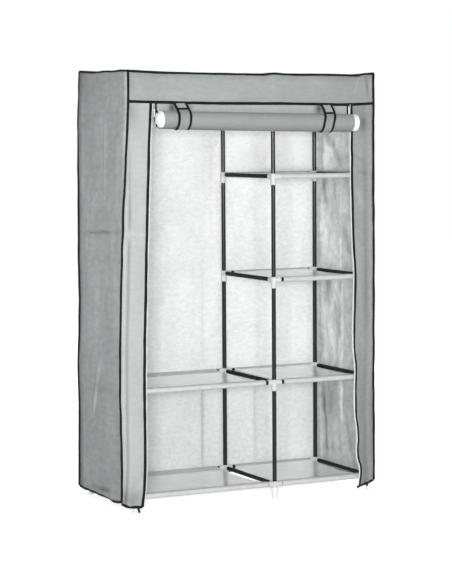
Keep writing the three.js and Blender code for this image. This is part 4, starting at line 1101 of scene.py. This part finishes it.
def clothShelf(bay, joint, x0, x1, seed):
    # the path across the whole width, sagging between the tubes and drawn to the posts at its corners
    y0, y1 = poles["front"], poles["back"]
    path, hooked = shelfPath(y0, y1)
    nearLeft, nearRight = shelf["close"].get((bay, joint), (shelf["inset"], shelf["inset"]))
    x = np.linspace(x0 + shelf["inset"], x1 - shelf["inset"], shelf["across"])
    xs, ys = np.meshgrid(x, path[:, 0])
    share = np.clip((ys - y0 - 9) / (y1 - y0 - 18), 0, 1)
    inFromEnds = np.minimum(share, 1 - share) * 12
    onTop = (path[:, 1] > shelf["over"] - 0.5)[:, None] * ramp(inFromEnds)
    s = (xs - x[0]) / (x[-1] - x[0])
    zs = np.repeat(path[:, 1:], len(x), 1) + heightOf[joint]
    zs = zs - onTop * shelf["sag"] * np.sin(np.pi * share) ** 0.4 * (0.85 + 0.15 * np.sin(np.pi * s))
    drawnIn = waves(xs, ys, [(0.5, 22, np.inf, seed + 2)], fade(np.minimum(ys - y0, y1 - ys) / 30))
    ruffle = waves(xs, ys, [(0.7, 70, 110, seed)]) + 0.35 * crumple(xs, ys, seed + 1, 60)
    zs = zs + onTop * (ruffle + drawnIn)
    toFront = 1 - ramp(share * 5)
    xs = xs - (shelf["inset"] - nearLeft) * toFront * (1 - s) ** 10
    xs = xs + (shelf["inset"] - nearRight) * toFront * s ** 10
    xs = xs - shelf["open"].get((bay, joint), 0.0) * ramp(share * 6 - 5) * s ** 10
    inward = 1.6 * np.sin(np.pi * share) * onTop * np.sign(0.5 - s)
    further = shelf["reach"].get((bay, joint), 0.0) * onTop * ramp(inFromEnds - 0.3)
    xs = xs + inward * np.abs(1 - 2 * s) ** 6 - further * (1 - s) ** 12
    fromFront, toBack = path[:, 0] - y0, y1 - path[:, 0]
    inFront = fromFront < shelf["frontSleeve"]
    sleeve = inFront | (toBack < shelf["backSleeve"][bay])
    # painted light and shade of the front sleeve and of the flat, by level
    shade = shelf["front"][joint] * inFront + shelf["flat"][joint] * ~sleeve
    sewn = (sleeve[1:] & sleeve[:-1])[:, None]
    cloth = clothShell(triple(xs, ys, zs)[:, ::-1], shelf["thick"], third=sewn, shade=(0.0, shade[:, None]))
    piece = addPiece(f"shelf_cloth_{bay}_{joint}", [cloth], ["shelfCloth", "shelfCloth", "shelfSleeve"],
                     "frame", "shelf_cloth", [f"shelf_{bay}_{joint}"])
    places = np.arange(x[1], x[-2], shelf["stitch"])
    rows = []
    for y in [y0 + seam for seam in shelf["seams"]] + [y1 - seam for seam in shelf["seams"]]:
        near = np.argmin(np.abs(path[hooked:-hooked, 0] - y)) + hooked
        stitched = triple(places, y, np.interp(places, x, zs[near]) + 0.35)
        rows.append(strewn(stitched, triple(1, places * 0, 0), triple(0, places * 0, 1), shelf["thread"]))
    flat = (path[:, 1] > shelf["over"] - 0.5) & (fromFront > 6) & (toBack > 6)
    hems = [sectionAlong(triple(xs[flat, column] + sign * 0.6, ys[flat, column], zs[flat, column] - 0.3),
                         (0, 0, 1), roundSection(*shelf["hem"])) for column, sign in ((0, 1), (-1, -1))]
    hem = addPiece(f"shelf_hem_{bay}_{joint}", hems, ["shelfHem"], "frame", "shelf_cloth")
    seam = addPiece(f"shelf_seam_{bay}_{joint}", rows, ["greyThread"], "frame", "shelf_cloth")
    (x1 - x0 - 2 * shelf["inset"]) * millimetre
    reach(path)[-1] * millimetre


for number, (bay, joint) in enumerate(shelf["order"]):
    ends = (poles["left"], poles["centre"]) if bay == "left" else (poles["centre"], poles["right"])
    clothShelf(bay, joint, *ends, shelf["firstSeed"] + shelf["seedStep"] * number)
print("shelves made")


# edging, ties and zips of the cover

def upTo(low, high, step=5.0):
    return np.arange(low, high + step / 2, (high - low) / round((high - low) / step))


def waved(path, amount, seed, size=55):
    # each axis strays by a noise of its own, less towards both ends
    steps = reach(path)
    sway = np.stack([softNoise(steps / size, steps * 0 + 9.1 * k, seed + k) for k in range(3)], -1)
    return path + sway * amount * np.clip(np.minimum(steps, steps[-1] - steps) / 30, 0, 1)[:, None]


def edging(name, path, outward, size, seed, sway=0.7, square=2.6, proud=1.5, slim=0.0):
    # binding tape folded over an edge: a rounded flat section, a little uneven along its run
    path = waved(path, sway, seed) + unit(np.array(outward, float)) * proud
    swell = 1 + waves(reach(path), 0.0, [(0.07, 34, 1, seed + 7)])
    swell = swell * (1 - slim * ramp((900 - path[:, 2]) / 400))
    part = sectionAlong(path, outward, roundSection(*size, 12, square), swell=swell)
    return addPiece(f"edging_{name}", [part], ["edging"], "cover", "binding", ["cover_binding"], crease=60)


def hemPath(first, second, key):
    # along a panel's foot, between two corner lines, at the hem's own heights
    share = np.linspace(0, 1, 90)
    z = rim(key, share)
    return blendPoints(first(z), second(z), share)


high, headerLow = cover["edge"], cover["header"]
alongX, alongY = upTo(cover["left"] - 1.5, cover["right"] + 1.5), upTo(cover["front"], cover["back"])
shareX, shareY = np.clip((alongX - cover["left"]) / wide, 0, 1), (alongY - cover["front"]) / deep
raised = np.array([0, -1.9, 0])
leftFoot = hemPath(cornerFrontLeft, openingLeft, "leftHem")
turnIn = leftFoot[0, 0] + np.array([0, 14])
leftFoot[:, 1] = np.interp(leftFoot[:, 0], turnIn, [leftFoot[0, 1], cover["front"]])
rightFoot = hemPath(openingRight, cornerFrontRight, "rightHem")
looseStart = rightFoot[0] + np.array([-10.0, -1.0, -4.0]) * np.linspace(1, 0, 5)[:-1, None]
thick, thin, flatTop, hemSize, tape = (9.6, 9.0), (9.0, 8.2), (9.2, 7.6), (10.0, 5.4), (11.2, 2.6)
flush, taped = {"sway": 0.5, "proud": 0.0}, {"sway": 0.5, "square": 3.6, "proud": 0.0}
edgings = [
    # name, panel, path, which way it faces, width and thickness, seed, what differs from the usual
    ("corner_front_left", leftSide, cornerFrontLeft(upTo(40, high + 5)), (-1, -1, 0), thin, 201, {}),
    ("corner_back_left", leftSide, cornerBackLeft(upTo(37, high + 15.5)), (-1, 1, 0), thick, 211, {}),
    ("corner_front_right", rightSide, cornerFrontRight(upTo(41, high + 2.6)), (1, -1, 0), thick, 221, {}),
    ("corner_back_right", rightSide, cornerBackRight(upTo(37, high + 3)), (1, 1, 0), thin, 231, {}),
    ("top_front", top, triple(alongX, cover["front"], high + rim("frontRim", shareX)), (0, -1, 1),
     flatTop, 241, flush),
    ("top_back", top, triple(alongX, cover["back"], high + rim("backRim", shareX)), (0, 1, 1),
     flatTop, 251, {}),
    ("top_left", top, triple(cover["left"], alongY, high + rim("leftRim", shareY)), (-1, 0, 1),
     flatTop, 261, flush),
    ("top_right", top, triple(cover["right"], alongY, high + rim("rightRim", shareY)), (1, 0, 1),
     flatTop, 271, {}),
    ("header", header, triple(alongX, cover["front"] - 3.0, headerLine(alongX)), (0, 0, 1),
     (10.6, 5.4), 281, dict(flush, square=3.2)),
    ("opening_left", stripLeft, openingLeft(upTo(22, headerLow - 2)) + raised, (1, 0, 0), tape, 291, taped),
    ("opening_right", stripRight, openingRight(upTo(23, headerLow - 6)) + raised, (1, 0, 0),
     (tape[0] - 1, tape[1]), 301, dict(taped, sway=0.6, slim=0.28)),
    ("hem_left", leftSide, hemPath(cornerFrontLeft, cornerBackLeft, "sideHem"), (0, 0, -1), hemSize, 311,
     {"sway": 1.2}),
    ("hem_right", rightSide, hemPath(cornerFrontRight, cornerBackRight, "sideHem"), (0, 0, -1), hemSize, 321,
     {"sway": 1.2}),
    ("hem_back", back, hemPath(cornerBackLeft, cornerBackRight, "backHemEdging"), (0, 0, -1), hemSize, 331,
     {"sway": 1.2}),
    ("hem_strip_left", stripLeft, leftFoot, (0, 0, -1), (11.0, 5.2), 341, {"sway": 0.8}),
    ("hem_strip_right", stripRight, np.concatenate([looseStart, rightFoot]), (0, 0, -1), (9.0, 4.6), 351,
     {"sway": 0.8}),
]
for name, panel, path, outward, size, seed, rest in edgings:
    panel.setdefault("trims", []).append(edging(name, path, outward, size, seed, **rest))


def tie(name, panel, x, z, sway, length):
    # a loose end of tape that hangs from a hem and curls a little
    t = np.linspace(0, 1, 16)
    curl = np.stack([sway * t ** 1.5, -1.5 * np.sin(t * 2.6), -length * t], -1)
    path = np.array((x, cover["front"] - 2.0, z)) + curl
    part = sectionAlong(path, (1, 0, 0), roundSection(8.0, 3.4, 10, 3.5))
    panel["trims"].append(addPiece(name, [part], ["edging"], "cover", "binding", ["cover_binding"]))


tie("tie_left", stripLeft, -474.0, 25.0, 6.0, 22.0)
tie("tie_right", stripRight, 498.0, 35.0, -3.0, 16.0)

zips = {"tapeWide": 7.4, "tapeThick": 0.7, "from": 1.0, "pitch": 2.6, "tooth": (3.0, 1.7, 1.5),
        "cord": (1.2, 1.2, 6, 2.0)}


def teethAlong(line, offset, first, last):
    # a moulded tooth at each pitch beside a line, and where they are
    steps = reach(line)
    at = np.arange(first, steps[-1] - last, zips["pitch"])
    places = np.stack([np.interp(at, steps, line[:, k]) for k in range(3)], -1) + offset
    return places, strewn(places, triple(1, at * 0, 0), triple(0, -1, at * 0), zips["tooth"], finish=1)


def tapeAlong(line, offsets, direction):
    # a narrow woven tape through the line moved by each offset
    points = np.stack([line + np.array([direction * across, y, 0]) for across, y in offsets], 1)
    return clothShell(points[:, ::direction], zips["tapeThick"], (0, 0))


def zipSide(name, panel, line, direction):
    # the tape beside the edging, with a row of moulded teeth and a cord along its free edge
    start, full, pitch = zips["from"], zips["tapeWide"], zips["pitch"]
    tape = tapeAlong(line, [(start + share * full, -0.4 - 0.5 * share) for share in np.linspace(0, 1, 6)],
                     direction)
    places, teeth = teethAlong(line, np.array([direction * (start + full - 0.4), -1.5, 0]), pitch, pitch)
    cordLine = sectionAlong(places + np.array([direction * -1.8, 0.2, 0]), (0, -1, 0),
                            roundSection(*zips["cord"]), finish=1)
    panel["trims"].append(addPiece(name, [tape, teeth, cordLine], ["zipTape", "zipTeeth"], "cover", "zip"))


zipSide("zip_left", stripLeft, openingLeft(upTo(22, headerLow - 4)), 1)
zipSide("zip_right", stripRight, openingRight(upTo(30, headerLow - 8)), -1)
print("edging and zips made")


# rolled door, its hanging part and the straps

door = {
    "left": -394.3, "right": 420.9, "rollLeft": -391.0, "rollRight": 431.5, "y": -230.475, "z": 1430.2,
    "deep": 29.6, "tall": 33.0, "core": 0.08, "turns": 12, "steps": 36, "across": 84, "thick": 0.9,
    "tapeLeft": 15.5, "tapeRight": 21.0, "tapeThick": 1.8, "drop": ([-400, 190, 435], [6.8, -5.0, -6.5]),
    "spiralled": 8.0, "behind": 0.6, "clear": 2.0, "margin": 6.5, "hangs": 0.12, "seed": 401,
    # from angle, to angle, share of the roll's size
    "dashes": [(-0.36, 0.3, 0.78), (1.35, 1.62, 0.78), (-1.4, -1.05, 0.76)], "dash": (3.0, 10.0, 8, 3),
    # spots on the hanging part: painted shadows beside the straps
    "spots": [(-322, 1480, 13, 20, -0.75), (-250, 1484, 14, 14, -0.30), (288, 1478, 14, 22, -0.75),
              (345, 1484, 14, 12, -0.20)],
    "blend": (1.480, 1.457),
}
strap = {
    # the strap's shade is a painted darkening of its cloth
    "thick": 1.0, "snug": 1.5, "shade": -0.06, "trim": (9.4, 2.6, 10, 3.4), "hem": (8.0, 2.8, 10, 3.2),
    "tabThick": 0.9, "tabWide": 0.75, "underHem": 4.6, "blend": 0.0012,
    # place along the header, place along the roll, width, tab's height
    "left": (-292.0, -298.0, 46.0, 25.0), "right": (318.0, 298.0, 40.5, 36.0),
}


def rollAxis(x):
    # height and size of the roll along its run: it drops to the right, and the straps draw it in
    plump, slim = bell((x - 30) / 220, 4), 1 - ramp((x + 330) / 200)
    tight = 1 - 0.035 * (bell((x + 297) / 34) + bell((x - 303) / 34))
    height = door["z"] + through(x, *door["drop"]) + 1.3 * plump + 1.7 * slim
    return height, tight + 0.035 * plump - 0.05 * slim


def rollCloth():
    # a spiral of many turns, each point at an angle and at the spiral's share of the roll's size
    left, right = door["rollLeft"], door["rollRight"]
    turnsIn = np.linspace(0, door["turns"], door["turns"] * door["steps"] + 1)
    share = 1 - (1 - door["core"]) * turnsIn / door["turns"]
    edgeShift = 1.3 * softNoise(turnsIn * 1.7, turnsIn * 0, door["seed"])
    edgeShift = edgeShift - door["spiralled"] * (1 - share ** 2)
    across = np.linspace(0, 1, door["across"])
    bend = ((1 - np.cos(np.pi * across)) / 2 * 0.35 + across * 0.65)[None, :]
    x = left + (right - left) * bend + edgeShift[:, None] * (1 - 2 * bend)
    angle = (-np.pi / 2 - 2 * np.pi * turnsIn)[:, None]
    axisZ, tight = rollAxis(x)
    outer = np.clip(1 - turnsIn / 1.1, 0, 1)[:, None]
    wave = waves(x, angle, [(0.9, 70, 0.8, door["seed"] + 1), (0.5, 21, 0.5, door["seed"] + 2)])
    wave = wave + (waves(angle, x, [(0.7, 1 / 2.2, np.inf, door["seed"] + 3)])
                   * fade(np.minimum(x - left, right - x) / 12))
    size, off = share[:, None] * tight, wave * (0.35 + 0.65 * outer) - 0.6
    points = triple(x, door["y"] + (door["deep"] * size + off) * np.cos(angle),
                    axisZ + (door["tall"] * size + off) * np.sin(angle))
    taped = (x[0] < left + door["tapeLeft"]) | (x[0] > right - door["tapeRight"])
    # painted shade: the roll darker towards its underside
    shade = -0.16 * ramp(0.1 - (points[..., 2] - axisZ) / door["tall"])
    part = clothShell(points, np.where(taped, door["tapeThick"], door["thick"])[None, :],
                      third=(taped[:-1] & taped[1:])[None, :], rimFinish=2, shade=(shade, 0.0))
    cloth = addPiece("door_roll_cloth", [part], ["coverRoll", "lining", "rollTapeLit"], "door_roll_body",
                     "cover_cloth", ["door_roll"])
    return cloth, reach(points[:, 40])[-1]


rollPiece, rollLength = rollCloth()
dashes = []
for low, last, share in door["dashes"]:
    angle = np.linspace(low, last, 14)
    x = angle * 0 + door["rollLeft"] - door["spiralled"] * (1 - share ** 2) - 1.2
    line = triple(x, door["y"] + door["deep"] * share * np.cos(angle),
                  rollAxis(x)[0] + door["tall"] * share * np.sin(angle))
    dashes.append(sectionAlong(line, (-1, 0, 0), roundSection(*door["dash"])))
rollEdging = addPiece("roll_edging_left", dashes, ["edging"], "door_roll_body", "binding")


def hangingPath(x, arc=20, straight=50):
    # from behind the header straight down behind the roll, then round under it, for each x
    angle = np.radians(np.linspace(0, -83, arc))[:, None]
    hang = cover["front"] + door["behind"]
    start = hang - door["y"]
    deepness = start + (door["deep"] + door["clear"] - start) * np.linspace(0, 1, arc)[:, None]
    arcY = np.repeat(door["y"] + deepness * np.cos(angle), len(x), 1)
    arcZ = rollAxis(x)[0][None, :] + (door["tall"] + door["clear"]) * np.sin(angle)
    top = headerLine(x)[None, :] - 1.0
    downZ = top + (arcZ[:1] - top) * np.linspace(0, 1, straight, endpoint=False)[:, None]
    return np.concatenate([np.full(downZ.shape, hang), arcY]), np.concatenate([downZ, arcZ])


def hangingDoor():
    # the hanging part of the door: quite straight, with small upright waves that fade towards the roll
    x = np.linspace(door["left"] + door["margin"], door["right"] - door["margin"], 190)
    y, z = hangingPath(x)
    xs = np.repeat(x[None, :], len(y), 0)
    sway = 0.8 + waves(xs, z, [(1.1, 42, 160, door["seed"] + 10), (0.4, 15, 40, door["seed"] + 11)])
    points = triple(xs, y - ramp((z - door["z"] + 10) / 40) * sway, z)[::-1]
    # painted shadows beside the straps
    part = clothShell(points, door["thick"], shade=(patches(xs, z, door["spots"])[::-1], 0.0))
    return addPiece("door_panel", [part], ["coverCurtain", "lining"], "cover", "cover_cloth",
                    ["door_curtain"], ride=False)


doorPanel = hangingDoor()
doorTrim = []
for side, x, direction in (("left", door["left"] + 8, -1), ("right", door["right"] - 8, 1)):
    y, z = hangingPath(np.array([x]))
    keep = z[:, 0] > door["z"] - 4
    line = triple(x, y[keep, 0], z[keep, 0])[::-1]
    binding = sectionAlong(line + np.array([0, -1.7, 0]), (1, 0, 0), roundSection(7.2, 2.0, 12, 3.6))
    tapePart = tapeAlong(line, [(across, -0.3) for across in np.linspace(0.5, 8.0, 6)], direction)
    teeth = teethAlong(line, np.array([direction * 7.6, -1.2, 0]), 2.0, 1)[1]
    doorTrim += [addPiece(f"door_edging_{side}", [binding], ["edging"], "cover", "binding", ["door_curtain"],
                          ride=False),
                 addPiece(f"door_zip_{side}", [tapePart, teeth], ["zipTape", "zipTeeth"], "cover", "zip",
                          ride=False)]


def strapPath(z, tight, top):
    # down behind the hanging part, under the roll and up its front to the header: (y, z) for each step
    angle, t = np.radians(np.linspace(0, -234, 60)), np.linspace(0, 1, 60)
    front, full = cover["front"], door["tall"] + 4.0
    start, snug = front + 3.8 - door["y"], strap["snug"]
    deepness = start + (door["deep"] * tight + snug - start) * np.minimum(t * 2.2, 1)
    tallness = full + (door["tall"] * tight + snug - full) * ramp((t - 0.36) / 0.2)
    arc = np.stack([door["y"] + deepness * np.cos(angle), z + tallness * np.sin(angle)], -1)
    behind = np.stack([np.full(14, front + 3.8), np.linspace(top - 2, arc[0, 1], 14, endpoint=False)], -1)
    rise = np.linspace(0, 1, 26)[1:, None]
    pull = arc[-1] + unit(arc[-1] - arc[-2]) * 14
    end = np.array([front - 2.6, top - 1.0])
    up = (1 - rise) ** 2 * arc[-1] + 2 * (1 - rise) * rise * pull + rise ** 2 * end
    return np.concatenate([behind, arc, up]), len(behind) + len(arc)


def strapPieces(side):
    # the strap drifts sideways on its way round the roll and ripples a little across its width
    topX, rollX, wideness, tabTall = strap[side]
    z, tight = rollAxis(np.array(rollX))
    top = float(headerLine(np.array(topX)))
    path, rising = strapPath(z, tight, top)
    steps = reach(path)
    middle = rollX + (topX - rollX) * ramp((path[:, 1] - z + 12) / 70)
    across = np.linspace(-0.5, 0.5, 16)
    xs = middle[:, None] + across[None, :] * wideness
    ripple = waves(xs, steps[:, None], [(0.5, 14, 40, door["seed"] + 30)])
    ripple = ripple + 0.25 * np.cos(across * 2 * np.pi)
    points = triple(xs, path[:, :1], path[:, 1:])
    normals = gridNormals(points)
    points = points - normals * ripple[..., None]
    common = ("cover", "cover_cloth")
    # painted shade: the strap's cloth a little darker
    band = clothShell(points, strap["thick"], shade=(strap["shade"], 0.0))
    cloth = addPiece(f"strap_{side}_cloth", [band], ["coverRoll", "coverRoll"], *common, [f"strap_{side}"],
                     ride=False)
    trims = [sectionAlong(points[:, column] - normals[:, column] * 0.4, (1, 0, 0),
                          roundSection(*strap["trim"])) for column in (0, -1)]
    hemAt = np.argmin(np.abs(path[rising:, 1] - (top - tabTall))) + rising
    tab = (points + normals * 1.3)[hemAt:-1, 2:-2]
    tabPiece = addPiece(f"strap_{side}_tab", [clothShell(tab, strap["tabThick"])],
                        ["coverStripLeft", "coverRoll"], *common, ride=False)
    bowed = points[hemAt] + normals[hemAt] + triple(0, 0, 1.6 * np.cos(across * np.pi))
    trims.append(sectionAlong(bowed, (0, 0, 1), roundSection(*strap["hem"])))
    trim = addPiece(f"strap_{side}_edging", trims, ["edging"], "cover", "binding", [f"strap_{side}"],
                    ride=False)
    return [cloth, trim, tabPiece], (points[hemAt, :, 2].min() - strap["underHem"]) * millimetre


def hungBetween(pieces, start, end):
    # each piece's place is baked into its mesh
    for piece in pieces:
        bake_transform(piece)


hungBetween([doorPanel] + doorTrim, *door["blend"])
for side in ("left", "right"):
    strapped, underHem = strapPieces(side)
    hungBetween(strapped, underHem, underHem - strap["blend"])
print("door made")


# sliders and pulls

slider = {"z": 1491.9, "left": -395.5, "right": 422.1, "y": -202.875, "pinZ": 1489.6,
          "plates": ((-2.9, 1.1), (1.6, 0.9)), "bridge": (1.8, 0.9, 8, 3), "ring": (1.2, 1.3, 8, 3),
          "tongueThick": 1.1}


def sliderPiece(side):
    # a waisted plate in front of the teeth, a second behind, and an arched bridge with the pull's pin
    x, y, z = slider[side], cover["front"], slider["z"]
    t = np.linspace(-1, 1, 14)
    halfWide = 4.0 - 0.9 * np.clip(-t, 0, 1) ** 1.5 - 0.5 * bell(t / 0.35)
    parts = []
    for depth, thickness in slider["plates"]:
        rows = [triple(x + across * halfWide, y + depth + 0.25 * abs(across) ** 3, z + t * 4.5)
                for across in np.linspace(-1, 1, 7)]
        parts.append(clothShell(np.stack(rows, 1), thickness, (0, 0)))
    arch = np.linspace(0, np.pi, 12)
    bridge = triple(x, y - 3.4 - 2.2 * np.sin(arch), z + 3.2 * np.cos(arch))
    parts.append(sectionAlong(bridge, (1, 0, 0), roundSection(*slider["bridge"])))
    addPiece(f"slider_{side}", parts, ["zipMetal"], "cover", "zip", [f"zip_slider_{side}"], crease=40)


def pullPiece(side):
    # a drop-shaped ring hanging from the pin, with a flat tongue in it
    x, pin = slider[side], slider["pinZ"]
    t = np.linspace(0, 2 * np.pi, 40, endpoint=False)
    z = pin - 6.4 + 7.4 * np.cos(t)
    half = (1.9 + 0.9 * np.clip((pin - 4 - z) / 10, 0, 1)) * np.sin(t)
    ring = sectionAlong(triple(x + half, slider["y"] - 0.2, z), (0, -1, 0), roundSection(*slider["ring"]),
                        closed=True)
    v = np.linspace(0, 1, 12)
    rows = [triple(x + s * (2.3 + 0.4 * np.sin(v * np.pi)), slider["y"] - 0.8, pin - 5 - 8.4 * v)
            for s in np.linspace(-1, 1, 6)]
    tongue = clothShell(np.stack(rows, 1)[::-1], slider["tongueThick"], (0, 0))
    addPiece(f"pull_tongue_{side}", [ring, tongue], ["zipMetal"], f"pull_{side}", "zip",
             [f"zip_pull_{side}"], crease=40)


for side in ("left", "right"):
    sliderPiece(side)
    pullPiece(side)
print("sliders made")


# each panel's trims taken as a list, and the studio

for panel in (leftSide, rightSide, back, top, header, stripLeft, stripRight):
    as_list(panel["trims"])


def studioFloor():
    # a pale floor with a glow of its own for the camera, so that it shows near white and keeps the shadow
    look = Finish("studioFloor")
    shade = (look.noise(look.place(), 3.0) - mean) * 0.01 + 1.0
    ray, glossy, passing = (look.node("ShaderNodeLightPath", out=out) for out in (0, 3, 6))
    seen = ray.math("MAXIMUM", glossy).math("MAXIMUM", passing)
    plain = look.node("ShaderNodeBsdfDiffuse", {}, {"Color": look.tinted((studio["floorTone"],) * 3, shade)})
    strength = seen * studio["floorGlow"]
    glow = look.node("ShaderNodeEmission", {}, {"Color": (1, 1, 1, 1), "Strength": strength})
    look.output(look.node("ShaderNodeAddShader", {}, {0: plain, 1: glow}))
    half = studio["floorSize"] / 2
    mesh = bpy.data.meshes.new("studio_floor")
    corners = [(-half, -half, 0), (half, -half, 0), (half, half, 0), (-half, half, 0)]
    mesh.from_pydata(corners, [], [(0, 1, 2, 3)])
    mesh.materials.append(look.material)
    placed("studio_floor", mesh)


def studioWorld():
    # a soft even light, and white where the camera sees past the floor
    world = bpy.data.worlds.new("studioWorld")
    bpy.context.scene.world = world
    world.use_nodes = True
    nodes, links = world.node_tree.nodes, world.node_tree.links
    nodes.clear()
    path, soft, white, either, mix, out = (nodes.new("ShaderNode" + kind) for kind in (
        "LightPath", "Background", "Background", "Math", "MixShader", "OutputWorld"))
    soft.inputs["Color"].default_value = (*studio["worldTone"], 1)
    soft.inputs["Strength"].default_value = studio["worldLevel"]
    white.inputs["Color"].default_value = (1, 1, 1, 1)
    either.operation = "MAXIMUM"
    for start, end in ((path.outputs["Is Camera Ray"], either.inputs[0]),
                       (path.outputs["Is Transmission Ray"], either.inputs[1]),
                       (either.outputs[0], mix.inputs[0]), (soft.outputs[0], mix.inputs[1]),
                       (white.outputs[0], mix.inputs[2]), (mix.outputs[0], out.inputs["Surface"])):
        links.new(start, end)


def studioLamps():
    # three square area lamps, each turned to what it lights
    for name, place, aim, size, power, colour in studio["lamps"]:
        lamp = bpy.data.lights.new(name, "AREA")
        lamp.shape, lamp.size, lamp.energy, lamp.color = "SQUARE", size, power, colour
        facing = (Vector(aim) - Vector(place)).to_track_quat("-Z", "Y")
        placed(name, lamp).matrix_world = Matrix.Translation(place) @ facing.to_matrix().to_4x4()


studioFloor()
studioWorld()
studioLamps()
print("studio set")
